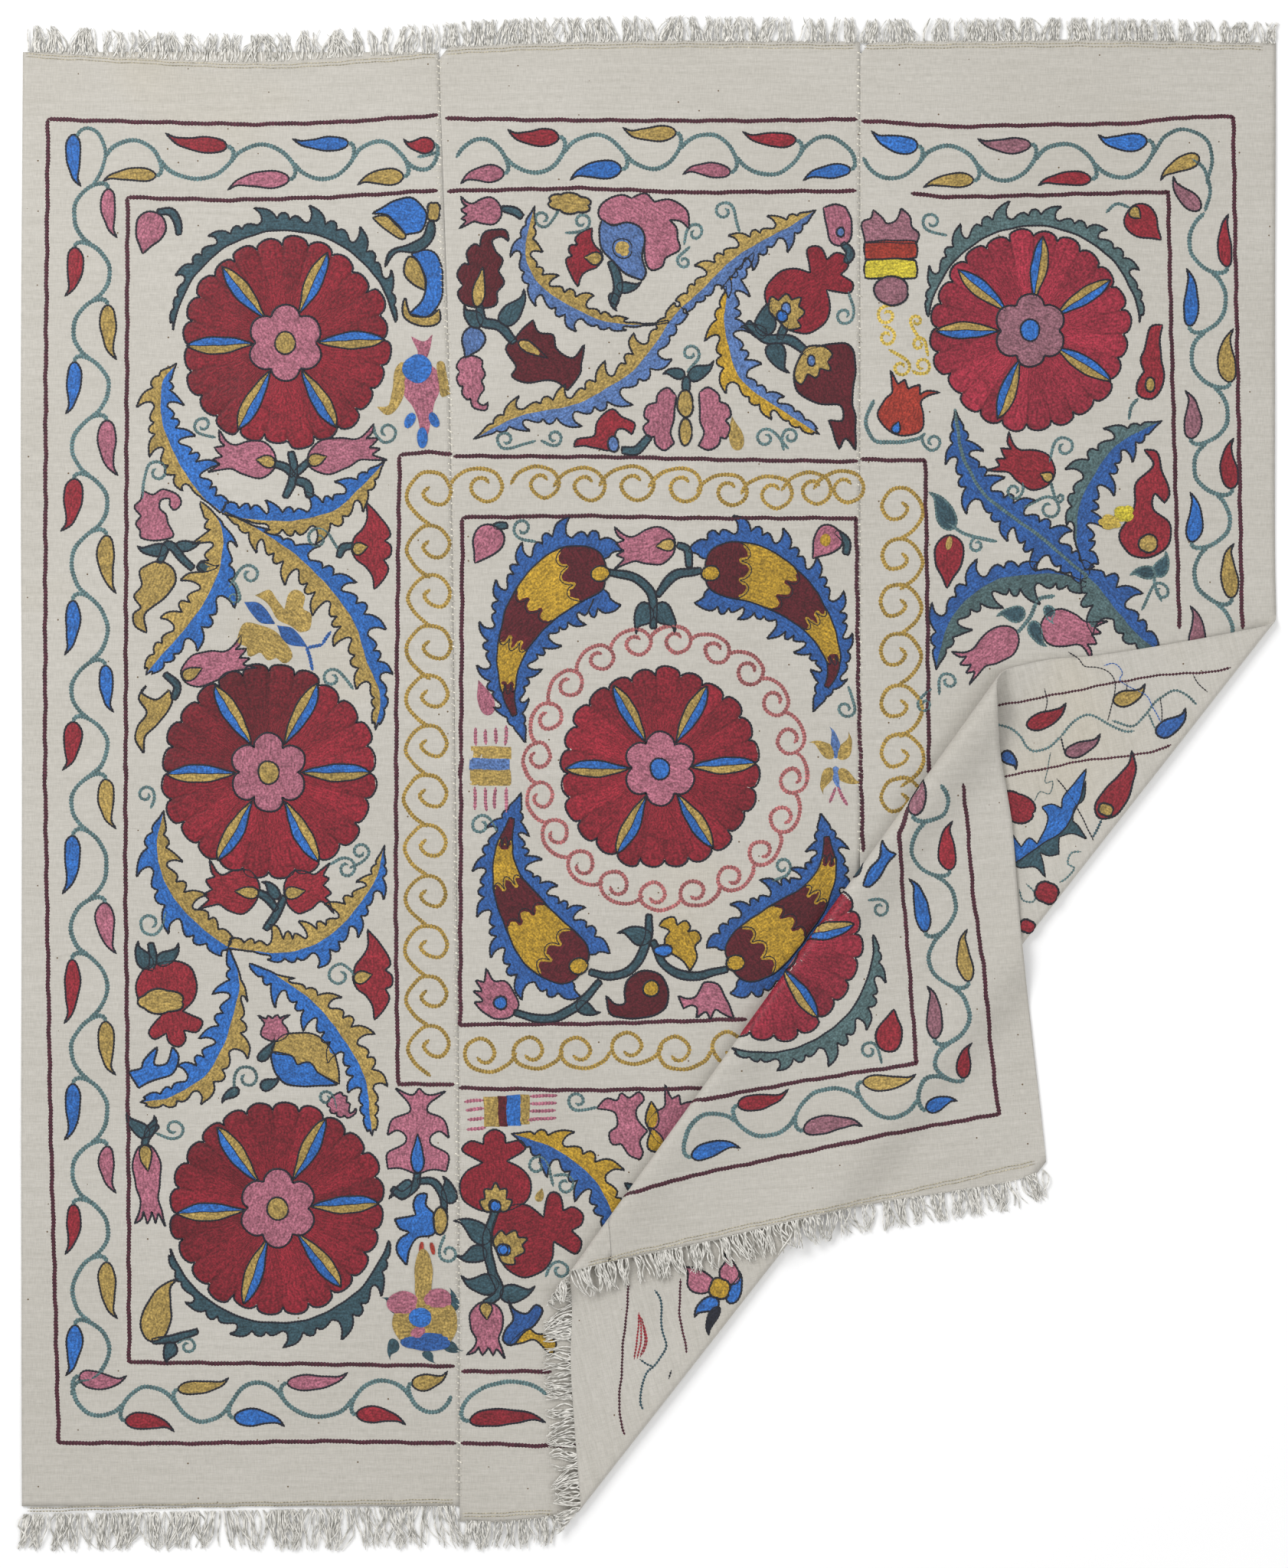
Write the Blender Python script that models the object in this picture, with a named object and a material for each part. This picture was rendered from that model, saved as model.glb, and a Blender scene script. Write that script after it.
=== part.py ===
"""Suzani: three hand-woven cotton panels sewn edge to edge, with a warp fringe at both ends.

It lies face up on the floor. Its lower right corner is turned over, which shows the back of the
cloth, and then turned back again, which shows the face. Metres, +Z up, and the origin is on the
floor under the middle of the cloth as it lies.
"""

import math

import bmesh
import bpy
import numpy as np

# Cloth
THICK = 0.0016
SEAM_GAP = 0.0003  # between two panels
HEM_GAP = 0.0005  # between a panel and its fringe, measured straight up the cloth

# The two folds. Each edge runs from the selvedge down to the fringe end of the cloth.
FOLD_1_START, FOLD_1_END = np.array([0.7367, 0.1938]), np.array([-0.1017, -0.8784])
FOLD_2_START, FOLD_2_END = np.array([0.4095, 0.1251]), np.array([-0.0927, -0.5742])
ROLL_1 = 0.006  # radius of the first roll
ROLL_2_START, ROLL_2_END = 0.012, 0.005  # the second roll is soft and open at the selvedge
REST_1 = 0.0062  # top of the turned layer, well away from the first roll
REST_2 = 0.0026  # clear space under the uppermost layer, well away from the second roll
SETTLE = 0.035  # how far from a roll the layer above has mostly sunk
FALL = 0.056  # the uppermost layer comes down to the floor over this width past the first roll

# Where the cuts for a smooth bend go
ROLL_STEPS = 8
SETTLE_CUTS = (0.008, 0.017, 0.027, 0.038, 0.052, 0.070)  # distances from the end of a roll
FALL_STEPS = 7
CROSS_CUT = 0.20  # spacing of the cuts across the folds
EDGE_STEP = 0.035  # spacing of the points along a curved edge

# Edges as the cloth lies: layer 0 is on the floor, 1 is turned over, 2 is turned back again
EDGES = {
    "left_selvedge": (  # layer, x, y
        (0, -0.7360, 0.8622),
        (0, -0.7385, 0.4100),
        (0, -0.7370, 0.0126),
        (0, -0.7380, -0.4200),
        (0, -0.7371, -0.8595),
    ),
    "seam_1": (
        (0, -0.2475, 0.8630),
        (0, -0.2349, 0.4608),
        (0, -0.2285, 0.0500),
        (0, -0.2241, -0.3564),
        (0, -0.2232, -0.8580),
    ),
    "seam_2": (
        (0, 0.2475, 0.8721),
        (0, 0.2475, 0.2000),
        (0, 0.2475, -0.3800),
        (2, -0.0477, -0.5139),
        (2, -0.0459, -0.5607),
    ),
    "right_selvedge": (
        (0, 0.7362, 0.8712),
        (0, 0.7350, 0.5200),
        (0, 0.7362, 0.2080),
        (1, 0.5472, 0.1539),
        (1, 0.4560, 0.1440),
        (2, 0.4104, 0.0459),
        (2, 0.4248, -0.0396),
        (2, 0.4347, -0.1638),
        (2, 0.4455, -0.2592),
        (2, 0.4617, -0.4023),
        (2, 0.4671, -0.4530),
    ),
    "top_left": (
        (0, -0.7360, 0.8622),
        (0, -0.6300, 0.8560),
        (0, -0.4752, 0.8496),
        (0, -0.3300, 0.8570),
        (0, -0.2475, 0.8600),
    ),
    "top_middle": (
        (0, -0.2475, 0.8660),
        (0, -0.1287, 0.8712),
        (0, 0.0378, 0.8739),
        (0, 0.2475, 0.8721),
    ),
    "top_right": (
        (0, 0.2475, 0.8715),
        (0, 0.5238, 0.8748),
        (0, 0.7362, 0.8712),
    ),
    "bottom_left": (
        (0, -0.7371, -0.8595),
        (0, -0.4800, -0.8550),
        (0, -0.2232, -0.8487),
    ),
    "bottom_middle": (
        (0, -0.2232, -0.8667),
        (0, -0.1377, -0.8640),
        (1, -0.0918, -0.6984),
        (1, -0.0909, -0.6147),
        (2, -0.0459, -0.5607),
    ),
    "bottom_right": (
        (2, -0.0459, -0.5607),
        (2, 0.0738, -0.5364),
        (2, 0.1557, -0.5157),
        (2, 0.2637, -0.4932),
        (2, 0.4122, -0.4700),
        (2, 0.4671, -0.4530),
    ),
}

PANELS = {
    "panel_left": ("left_selvedge", "seam_1", "top_left", "bottom_left"),
    "panel_middle": ("seam_1", "seam_2", "top_middle", "bottom_middle"),
    "panel_right": ("seam_2", "right_selvedge", "top_right", "bottom_right"),
}

# Fringe: hem it hangs from, mean length of its locks at the left and right end
FRINGES = {
    "fringe_top_left": ("top_left", 0.031, 0.034),
    "fringe_top_middle": ("top_middle", 0.030, 0.029),
    "fringe_top_right": ("top_right", 0.028, 0.025),
    "fringe_bottom_left": ("bottom_left", 0.041, 0.050),
    "fringe_bottom_middle": ("bottom_middle", 0.033, 0.034),
    "fringe_bottom_right": ("bottom_right", 0.034, 0.033),
}
LOCKS = 36  # to each fringe
FRINGE_THICK = 0.0012
STRIP = 0.0035  # width of the woven strip that the locks grow from
LOCK_TIP = 0.35  # width of a lock's tip as a share of its root
LEAN = 0.10  # most that a lock leans, as a share of its length

SHARP = math.radians(40)  # edges over this angle are drawn sharp

COLOURS = {
    "panel": (0.61, 0.58, 0.51, 1.0),
    "fringe": (0.66, 0.63, 0.55, 1.0),
}


def fold_axes(start, end):
    """The unit direction along a fold's edge, and the one across it, outwards to the lower right."""
    along = (end - start) / np.linalg.norm(end - start)
    return along, np.array([-along[1], along[0]])


ALONG_1, ACROSS_1 = fold_axes(FOLD_1_START, FOLD_1_END)
ALONG_2, ACROSS_2 = fold_axes(FOLD_2_START, FOLD_2_END)
FOLD_1_LENGTH = np.linalg.norm(FOLD_1_END - FOLD_1_START)
FOLD_2_LENGTH = np.linalg.norm(FOLD_2_END - FOLD_2_START)


def roll_2(along):
    """Radius of the second roll at a distance along its edge."""
    return ROLL_2_START + (ROLL_2_END - ROLL_2_START) * along / FOLD_2_LENGTH


def local(points, start, along, across):
    """Distances of points along and across a fold, from the start of its visible edge."""
    away = points - start
    return away @ along, away @ across


def placed(start, along, across, distance_along, distance_across):
    """The points at the given distances along and across a fold."""
    return start + np.multiply.outer(distance_along, along) + np.multiply.outer(distance_across, across)


def turn(distance, radius, depth):
    """One fold over half a circle.

    distance is how far a point lies past the visible edge before folding, and depth how far it is
    from the roll's outer skin. Returns its place across the edge and its lift.
    """
    angle = np.clip(distance / radius + 1.0, 0.0, math.pi)
    before = np.minimum(distance + radius, 0.0)
    after = np.maximum(distance - (math.pi - 1.0) * radius, 0.0)
    place = (radius - depth) * np.sin(angle) - radius + before - after
    return place, radius - (radius - depth) * np.cos(angle)


def settled(distance, amount):
    """How far a layer has sunk at a distance from the end of its roll."""
    return amount * (1.0 - np.exp(-((np.maximum(distance, 0.0) / SETTLE) ** 2)))


def lay(flat, height):
    """Folds the flat cloth: flat points and heights above its back become points in space."""
    along, past = local(flat, FOLD_1_START, ALONG_1, ACROSS_1)
    place, lift = turn(past, ROLL_1, height)
    plan = placed(FOLD_1_START, ALONG_1, ACROSS_1, along, place)
    turned = past > (math.pi - 1.0) * ROLL_1

    along_2, inward = local(plan, FOLD_2_START, ALONG_2, -ACROSS_2)
    radius = roll_2(along_2)
    place_2, lift_2 = turn(inward, radius, -height)
    again = turned & (inward > -radius)
    plan_2 = placed(FOLD_2_START, ALONG_2, -ACROSS_2, along_2, place_2)
    plan = np.where(again[:, None], plan_2, plan)
    lift = np.where(again, 2.0 * ROLL_1 + lift_2, lift)

    inside = -local(plan, FOLD_1_START, ALONG_1, ACROSS_1)[1]
    sunk = settled(inside - ROLL_1, 2.0 * ROLL_1 - REST_1)
    lift = lift - np.where(turned, sunk, 0.0)
    above = settled(-place_2 - radius, 2.0 * radius - REST_2)
    lift = lift - np.where(again, above, 0.0)
    share = np.clip(-inside / FALL, 0.0, 1.0)
    fallen = share * share * (3.0 - 2.0 * share)
    lift = np.where(again, height + (lift - height) * (1.0 - fallen), lift)
    return np.column_stack([plan, lift])


def unrolled(points):
    """Flat places of points that lie on the layer turned over once."""
    along, place = local(points, FOLD_1_START, ALONG_1, ACROSS_1)
    return placed(FOLD_1_START, ALONG_1, ACROSS_1, along, (math.pi - 2.0) * ROLL_1 - place)


def unfolded(layer, points):
    """Flat places of points that lie on a layer."""
    points = np.asarray(points, float)
    if layer == 0:
        return points
    if layer == 2:
        along, place = local(points, FOLD_2_START, ALONG_2, -ACROSS_2)
        back = (math.pi - 2.0) * roll_2(along) - place
        points = placed(FOLD_2_START, ALONG_2, -ACROSS_2, along, back)
    return unrolled(points)


def edge(name):
    """A cloth edge laid flat, as a smooth line with a point every EDGE_STEP or so."""
    knots = np.array([unfolded(layer, [x, y]) for layer, x, y in EDGES[name]])
    ends = np.vstack([2 * knots[0] - knots[1], knots, 2 * knots[-1] - knots[-2]])
    line = []
    for before, start, end, after in zip(ends, ends[1:], ends[2:], ends[3:]):
        steps = max(1, round(np.linalg.norm(end - start) / EDGE_STEP))
        for t in np.arange(steps) / steps:
            slope_start, slope_end = (end - before) / 2, (after - start) / 2
            line.append(
                start * (2 * t**3 - 3 * t**2 + 1)
                + slope_start * (t**3 - 2 * t**2 + t)
                + end * (3 * t**2 - 2 * t**3)
                + slope_end * (t**3 - t**2)
            )
    return np.array([*line, knots[-1]])


def panel_edges(name):
    """Left side, right side, top hem and bottom hem of a panel, half a gap in at each seam."""
    left_name, right_name, top_name, bottom_name = PANELS[name]
    shift = np.array([SEAM_GAP / 2, 0.0])
    left = edge(left_name) + shift * left_name.startswith("seam")
    right = edge(right_name) - shift * right_name.startswith("seam")
    top, bottom = edge(top_name), edge(bottom_name)
    top[0, 0], top[-1, 0] = left[0, 0], right[0, 0]
    bottom[0, 0], bottom[-1, 0] = left[-1, 0], right[-1, 0]
    left[0], left[-1] = top[0], bottom[0]
    right[0], right[-1] = top[-1], bottom[-1]
    return left, right, top, bottom


def fold_lines():
    """Every line, on the flat cloth, along which it has to be cut to bend smoothly."""
    ends = np.array([0.0, 1.0])

    def once(place):
        return unrolled(placed(FOLD_1_START, ALONG_1, ACROSS_1, ends, np.full(2, place)))

    def twice(place):
        return unfolded(2, placed(FOLD_1_START, ALONG_1, ACROSS_1, ends, np.full(2, place)))

    def before_second(share, more):
        radius = roll_2(ends)
        inward = radius * share + more
        return unrolled(placed(FOLD_2_START, ALONG_2, -ACROSS_2, ends, inward))

    angles = [math.pi * step / ROLL_STEPS for step in range(ROLL_STEPS + 1)]
    lines = [
        placed(FOLD_1_START, ALONG_1, ACROSS_1, ends, np.full(2, ROLL_1 * (angle - 1.0)))
        for angle in angles
    ]
    lines += [once(-ROLL_1 - distance) for distance in SETTLE_CUTS]
    lines += [before_second(angle - 1.0, 0.0) for angle in angles]
    lines += [before_second(math.pi - 1.0, distance) for distance in SETTLE_CUTS]
    lines += [twice(-ROLL_1 - distance) for distance in SETTLE_CUTS]
    lines += [twice(FALL * step / FALL_STEPS) for step in range(FALL_STEPS + 1)]
    return lines


def cut_along(bm, start, end):
    """Cuts the flat mesh along the endless line through two points."""
    across = np.array([start[1] - end[1], end[0] - start[0]])
    across /= np.linalg.norm(across)
    bmesh.ops.bisect_plane(
        bm,
        geom=[*bm.verts, *bm.edges, *bm.faces],
        dist=1e-6,
        plane_co=(*start, 0.0),
        plane_no=(*across, 0.0),
    )


def material(kind):
    mat = bpy.data.materials.new(kind)
    mat.use_nodes = True
    shader = mat.node_tree.nodes["Principled BSDF"]
    shader.inputs["Base Color"].default_value = COLOURS[kind]
    shader.inputs["Roughness"].default_value = 0.9
    shader.inputs["Metallic"].default_value = 0.0
    return mat


def finish(bm, name, kind, thickness, parts):
    """Thickens a flat mesh upwards, folds it and makes it an object."""
    bmesh.ops.triangulate(bm, faces=bm.faces[:])
    bmesh.ops.recalc_face_normals(bm, faces=bm.faces[:])
    if sum(face.normal.z for face in bm.faces) > 0:
        bmesh.ops.reverse_faces(bm, faces=bm.faces[:])
    raised = bmesh.ops.extrude_face_region(bm, geom=bm.faces[:], use_keep_orig=True)
    for item in raised["geom"]:
        if isinstance(item, bmesh.types.BMVert):
            item.co.z = thickness
    bmesh.ops.recalc_face_normals(bm, faces=bm.faces[:])
    flat = np.array([vert.co for vert in bm.verts])
    for vert, place in zip(bm.verts, lay(flat[:, :2], flat[:, 2])):
        vert.co = place
    mesh = bpy.data.meshes.new(name)
    bm.to_mesh(mesh)
    bm.free()
    mesh.shade_smooth()
    mesh.set_sharp_from_angle(angle=SHARP)
    mesh.materials.append(material(kind))
    parts.objects.link(bpy.data.objects.new(name, mesh))


def make_panel(name, lines, parts):
    """A loom-width panel: its flat outline, cut where it bends, thickened and folded."""
    left, right, top, bottom = panel_edges(name)
    outline = np.vstack([left, bottom[1:], right[::-1][1:], top[::-1][1:-1]])
    bm = bmesh.new()
    ring = bmesh.ops.create_circle(bm, cap_ends=True, segments=len(outline), radius=1.0)
    for vert, (x, y) in zip(ring["verts"], outline):
        vert.co = (x, y, 0.0)
    for line in lines:
        cut_along(bm, *line)
    for distance in np.arange(CROSS_CUT, FOLD_1_LENGTH, CROSS_CUT):
        start = FOLD_1_START + ALONG_1 * distance
        cut_along(bm, start, start + ACROSS_1)
    finish(bm, name, "panel", THICK, parts)


def make_fringe(name, lines, parts, rng):
    """A strip of locks: a row of cells along the hem, with every other cell drawn out."""
    hem_name, first_length, last_length = FRINGES[name]
    panel = next(key for key, sides in PANELS.items() if hem_name in sides)
    hem = panel_edges(panel)[2 if hem_name.startswith("top") else 3]
    outward = 1.0 if hem_name.startswith("top") else -1.0
    run = np.append(0.0, np.cumsum(np.linalg.norm(np.diff(hem, axis=0), axis=1)))

    def hem_point(share):
        at = share * run[-1]
        return np.array([np.interp(at, run, hem[:, 0]), np.interp(at, run, hem[:, 1])])

    cells = 2 * LOCKS - 1
    bm = bmesh.new()
    bmesh.ops.create_grid(bm, x_segments=cells, y_segments=1, size=1.0)
    edges = [e for e in bm.edges if all(v.co.y < 0 for v in e.verts)]
    edges.sort(key=lambda e: e.verts[0].co.x + e.verts[1].co.x)
    for vert in bm.verts:
        share = min(max((vert.co.x + 1.0) / 2.0, 0.0), 1.0)
        away = HEM_GAP if vert.co.y > 0 else HEM_GAP + STRIP
        x, y = hem_point(share)
        vert.co = (x, y + outward * away, 0.0)
    for lock, root in enumerate(edges[::2]):
        length = first_length + (last_length - first_length) * lock / (LOCKS - 1)
        length *= rng.uniform(0.88, 1.08)
        lean = rng.uniform(-LEAN, LEAN) * length
        middle = (root.verts[0].co + root.verts[1].co) / 2.0
        drawn = bmesh.ops.extrude_edge_only(bm, edges=[root])
        for vert in drawn["geom"]:
            if isinstance(vert, bmesh.types.BMVert):
                vert.co.x = middle.x + (vert.co.x - middle.x) * LOCK_TIP + lean
                vert.co.y += outward * (length - STRIP)
    for line in lines:
        cut_along(bm, *line)
    finish(bm, name, "fringe", FRINGE_THICK, parts)


def main():
    for obj in list(bpy.data.objects):
        bpy.data.objects.remove(obj)
    parts = bpy.data.collections.new("suzani")
    bpy.context.scene.collection.children.link(parts)
    rng = np.random.default_rng(7)
    lines = fold_lines()
    for name in PANELS:
        make_panel(name, [] if name == "panel_left" else lines, parts)
    for name in FRINGES:
        folded = name in ("fringe_bottom_middle", "fringe_bottom_right")
        make_fringe(name, lines if folded else [], parts, rng)


main()
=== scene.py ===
import math

import bpy
import numpy as np
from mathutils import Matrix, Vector
from mathutils.geometry import delaunay_2d_cdt


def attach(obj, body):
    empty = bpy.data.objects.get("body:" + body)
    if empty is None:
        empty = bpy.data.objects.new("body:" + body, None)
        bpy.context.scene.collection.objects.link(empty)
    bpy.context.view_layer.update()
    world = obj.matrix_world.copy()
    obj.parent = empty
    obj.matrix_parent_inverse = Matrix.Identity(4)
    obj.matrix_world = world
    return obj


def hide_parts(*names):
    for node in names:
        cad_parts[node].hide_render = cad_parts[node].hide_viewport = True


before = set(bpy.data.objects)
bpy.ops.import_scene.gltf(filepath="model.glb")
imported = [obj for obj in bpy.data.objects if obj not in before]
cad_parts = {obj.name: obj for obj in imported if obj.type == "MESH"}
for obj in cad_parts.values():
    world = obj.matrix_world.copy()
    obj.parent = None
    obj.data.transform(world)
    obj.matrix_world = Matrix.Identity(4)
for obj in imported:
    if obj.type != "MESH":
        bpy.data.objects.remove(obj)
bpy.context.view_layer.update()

# The cloth as it lies. It is face up on the floor, with its lower right corner turned over and
# turned back again. Everything sewn to it follows the same two rolls, so that nothing comes loose.
THICK = 0.0016
FOLD_1_START, FOLD_1_END = np.array([0.7367, 0.1938]), np.array([-0.1017, -0.8784])
FOLD_2_START, FOLD_2_END = np.array([0.4095, 0.1251]), np.array([-0.0927, -0.5742])
ROLL_1 = 0.006
ROLL_2_START, ROLL_2_END = 0.012, 0.005
REST_1, REST_2 = 0.0062, 0.0026
SETTLE, FALL = 0.035, 0.056
PIXEL = 0.0009  # metres of cloth to one pixel of the photo
CENTRE_X, CENTRE_Y = 848.0, 1024.0  # the photo's pixel over the origin
# Creases of storage: ends in the photo's pixels, width in metres, height in metres
CREASES = (
    (29, 1008, 620, 1004, 0.010, 0.0011),
    (620, 1004, 1240, 1010, 0.012, 0.0007),
    (857, 60, 862, 640, 0.012, 0.0008),
    (862, 640, 850, 1300, 0.014, 0.0009),
    (320, 60, 318, 560, 0.013, 0.0006),
    (1244, 60, 1240, 330, 0.010, 0.0008),
    (29, 1500, 600, 1512, 0.014, 0.0005),
    (29, 520, 570, 512, 0.015, 0.0005),
)


def fold_axes(start, end):
    """The unit direction along a fold's edge, and the same turned a quarter to the left."""
    along = (end - start) / np.linalg.norm(end - start)
    return along, np.array([-along[1], along[0]])


ALONG_1, ACROSS_1 = fold_axes(FOLD_1_START, FOLD_1_END)
ALONG_2, ACROSS_2 = fold_axes(FOLD_2_START, FOLD_2_END)
FOLD_2_LENGTH = np.linalg.norm(FOLD_2_END - FOLD_2_START)


def roll_2(along):
    """Radius of the second roll: a straight line from its start to its end."""
    return ROLL_2_START + (ROLL_2_END - ROLL_2_START) * along / FOLD_2_LENGTH


def local(points, start, along, across):
    """Distances along and across a fold: the dot products of a point with its two directions."""
    away = points - start
    return away @ along, away @ across


def placed(start, along, across, by_along, by_across):
    """A point from its distances: start, plus each distance times its direction."""
    return start + np.multiply.outer(by_along, along) + np.multiply.outer(by_across, across)


def turn(distance, radius, depth):
    """Half a circle of fold: place is (radius - depth) sin(angle), lift is radius less its cosine."""
    angle = np.clip(distance / radius + 1.0, 0.0, math.pi)
    before = np.minimum(distance + radius, 0.0)
    after = np.maximum(distance - (math.pi - 1.0) * radius, 0.0)
    place = (radius - depth) * np.sin(angle) - radius + before - after
    return place, radius - (radius - depth) * np.cos(angle)


def settled(distance, amount):
    """How far a layer has sunk past its roll: one minus a bell curve of the distance."""
    return amount * (1.0 - np.exp(-((np.maximum(distance, 0.0) / SETTLE) ** 2)))


def chart(x, y):
    """Metres on the floor of a place in the photo: pixels from the centre times PIXEL, y turned up."""
    return np.stack(np.broadcast_arrays((x - CENTRE_X) * PIXEL, (CENTRE_Y - y) * PIXEL), axis=-1)


def uneven(plan):
    """How far the floor layer lifts: low ridges along the creases, plus slow waves, never under 0."""
    lift = 0.0004 * (
        2.0
        + np.sin(plan[..., 0] * 23.0 + 1.3 * np.sin(plan[..., 1] * 9.0))
        + np.sin(plan[..., 1] * 19.0 + 1.7 * np.sin(plan[..., 0] * 7.0) + 2.0)
    )
    for x_0, y_0, x_1, y_1, width, height in CREASES:
        start, end = chart(x_0, y_0), chart(x_1, y_1)
        run = np.linalg.norm(end - start)
        along = (end - start) / run
        t, off = local(plan, start, along, np.array([-along[1], along[0]]))
        beyond = np.maximum(0.0, np.maximum(-t, t - run))
        off = off + 0.004 * np.sin(t * 31.0)
        lift = lift + height * np.exp(-((off / width) ** 2) - (beyond / 0.03) ** 2)
    return lift


def lay(flat, height):
    """Folds the flat cloth: the first roll, then the second, then the layers settle and fall."""
    along, past = local(flat, FOLD_1_START, ALONG_1, ACROSS_1)
    place, lift = turn(past, ROLL_1, height)
    plan = placed(FOLD_1_START, ALONG_1, ACROSS_1, along, place)
    turned = past > (math.pi - 1.0) * ROLL_1
    along_2, inward = local(plan, FOLD_2_START, ALONG_2, -ACROSS_2)
    radius = roll_2(along_2)
    place_2, lift_2 = turn(inward, radius, -height)
    again = turned & (inward > -radius)
    plan_2 = placed(FOLD_2_START, ALONG_2, -ACROSS_2, along_2, place_2)
    plan = np.where(again[..., None], plan_2, plan)
    lift = np.where(again, 2.0 * ROLL_1 + lift_2, lift)
    inside = -local(plan, FOLD_1_START, ALONG_1, ACROSS_1)[1]
    lift = lift - np.where(turned, settled(inside - ROLL_1, 2.0 * ROLL_1 - REST_1), 0.0)
    lift = lift - np.where(again, settled(-place_2 - radius, 2.0 * radius - REST_2), 0.0)
    share = np.clip(-inside / FALL, 0.0, 1.0)
    fallen = share * share * (3.0 - 2.0 * share)
    lift = np.where(again, height + (lift - height) * (1.0 - fallen), lift)
    return np.concatenate([plan, (lift + uneven(plan))[..., None]], axis=-1)


def unfolded(layer, plan):
    """Flat place of a point seen on layer 0, 1 or 2: it is mirrored back over each fold's edge."""
    if layer == 2:
        along, place = local(plan, FOLD_2_START, ALONG_2, -ACROSS_2)
        back = (math.pi - 2.0) * roll_2(along) - place
        plan = placed(FOLD_2_START, ALONG_2, -ACROSS_2, along, back)
    if layer > 0:
        along, place = local(plan, FOLD_1_START, ALONG_1, ACROSS_1)
        back = (math.pi - 2.0) * ROLL_1 - place
        plan = placed(FOLD_1_START, ALONG_1, ACROSS_1, along, back)
    return plan


# The three panels: hand-woven cream cotton, each one loom width, with slubs, seed flecks and a few
# stains. Each is a closed sheet on its solid's folds, in rows that run along the folds.
SEAM_GAP = 0.0003
ROW_STEP, COLUMNS = 0.009, 84
EDGES = {  # layer, x, y in metres as the cloth lies
    "left_selvedge": ((0, -0.7360, 0.8622), (0, -0.7385, 0.4100), (0, -0.7370, 0.0126),
                      (0, -0.7380, -0.4200), (0, -0.7371, -0.8595)),
    "seam_1": ((0, -0.2475, 0.8630), (0, -0.2349, 0.4608), (0, -0.2285, 0.0500),
               (0, -0.2241, -0.3564), (0, -0.2232, -0.8580)),
    "seam_2": ((0, 0.2475, 0.8721), (0, 0.2475, 0.2000), (0, 0.2475, -0.3800),
               (2, -0.0477, -0.5139), (2, -0.0459, -0.5607)),
    "right_selvedge": ((0, 0.7362, 0.8712), (0, 0.7350, 0.5200), (0, 0.7362, 0.2080),
                       (1, 0.5472, 0.1539), (1, 0.4560, 0.1440), (2, 0.4104, 0.0459),
                       (2, 0.4248, -0.0396), (2, 0.4347, -0.1638), (2, 0.4455, -0.2592),
                       (2, 0.4617, -0.4023), (2, 0.4671, -0.4530)),
    "top_left": ((0, -0.7360, 0.8622), (0, -0.6300, 0.8560), (0, -0.4752, 0.8496),
                 (0, -0.3300, 0.8570), (0, -0.2475, 0.8600)),
    "top_middle": ((0, -0.2475, 0.8660), (0, -0.1287, 0.8712), (0, 0.0378, 0.8739),
                   (0, 0.2475, 0.8721)),
    "top_right": ((0, 0.2475, 0.8715), (0, 0.5238, 0.8748), (0, 0.7362, 0.8712)),
    "bottom_left": ((0, -0.7371, -0.8595), (0, -0.4800, -0.8550), (0, -0.2232, -0.8487)),
    "bottom_middle": ((0, -0.2232, -0.8667), (0, -0.1377, -0.8640), (1, -0.0918, -0.6984),
                      (1, -0.0909, -0.6147), (2, -0.0459, -0.5607)),
    "bottom_right": ((2, -0.0459, -0.5607), (2, 0.0738, -0.5364), (2, 0.1557, -0.5157),
                     (2, 0.2637, -0.4932), (2, 0.4122, -0.4700), (2, 0.4671, -0.4530)),
}
PANELS = {  # left edge, right edge, top hem, bottom hem
    "panel_left": ("left_selvedge", "seam_1", "top_left", "bottom_left"),
    "panel_middle": ("seam_1", "seam_2", "top_middle", "bottom_middle"),
    "panel_right": ("seam_2", "right_selvedge", "top_right", "bottom_right"),
}


def smooth(knots, steps):
    """A curve through knots: cubic pieces whose slope at a knot is half the way past it."""
    knots = np.asarray(knots, float)
    ends = np.vstack([2 * knots[0] - knots[1], knots, 2 * knots[-1] - knots[-2]])
    t = (np.arange(steps) / steps)[None, :, None]
    start, end = ends[1:-2, None], ends[2:-1, None]
    slope_0, slope_1 = (end - ends[:-3, None]) / 2, (ends[3:, None] - start) / 2
    line = (
        start * (2 * t**3 - 3 * t**2 + 1)
        + slope_0 * (t**3 - 2 * t**2 + t)
        + end * (3 * t**2 - 2 * t**3)
        + slope_1 * (t**3 - t**2)
    )
    return np.vstack([line.reshape(-1, knots.shape[1]), knots[-1]])


def edge(name):
    """A cloth edge laid flat: its points unfolded from their layers, joined by a smooth curve."""
    return smooth([unfolded(layer, np.array([x, y])) for layer, x, y in EDGES[name]], 6)


def panel_edges(name):
    """The four sides of a panel, half a gap in at each seam, meeting at its corners."""
    left_name, right_name, top_name, bottom_name = PANELS[name]
    shift = np.array([SEAM_GAP / 2, 0.0])
    left = edge(left_name) + shift * left_name.startswith("seam")
    right = edge(right_name) - shift * right_name.startswith("seam")
    top, bottom = edge(top_name), edge(bottom_name)
    top[0, 0], top[-1, 0] = left[0, 0], right[0, 0]
    bottom[0, 0], bottom[-1, 0] = left[-1, 0], right[-1, 0]
    left[0], left[-1] = top[0], bottom[0]
    right[0], right[-1] = top[-1], bottom[-1]
    return left, right, top, bottom


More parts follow.
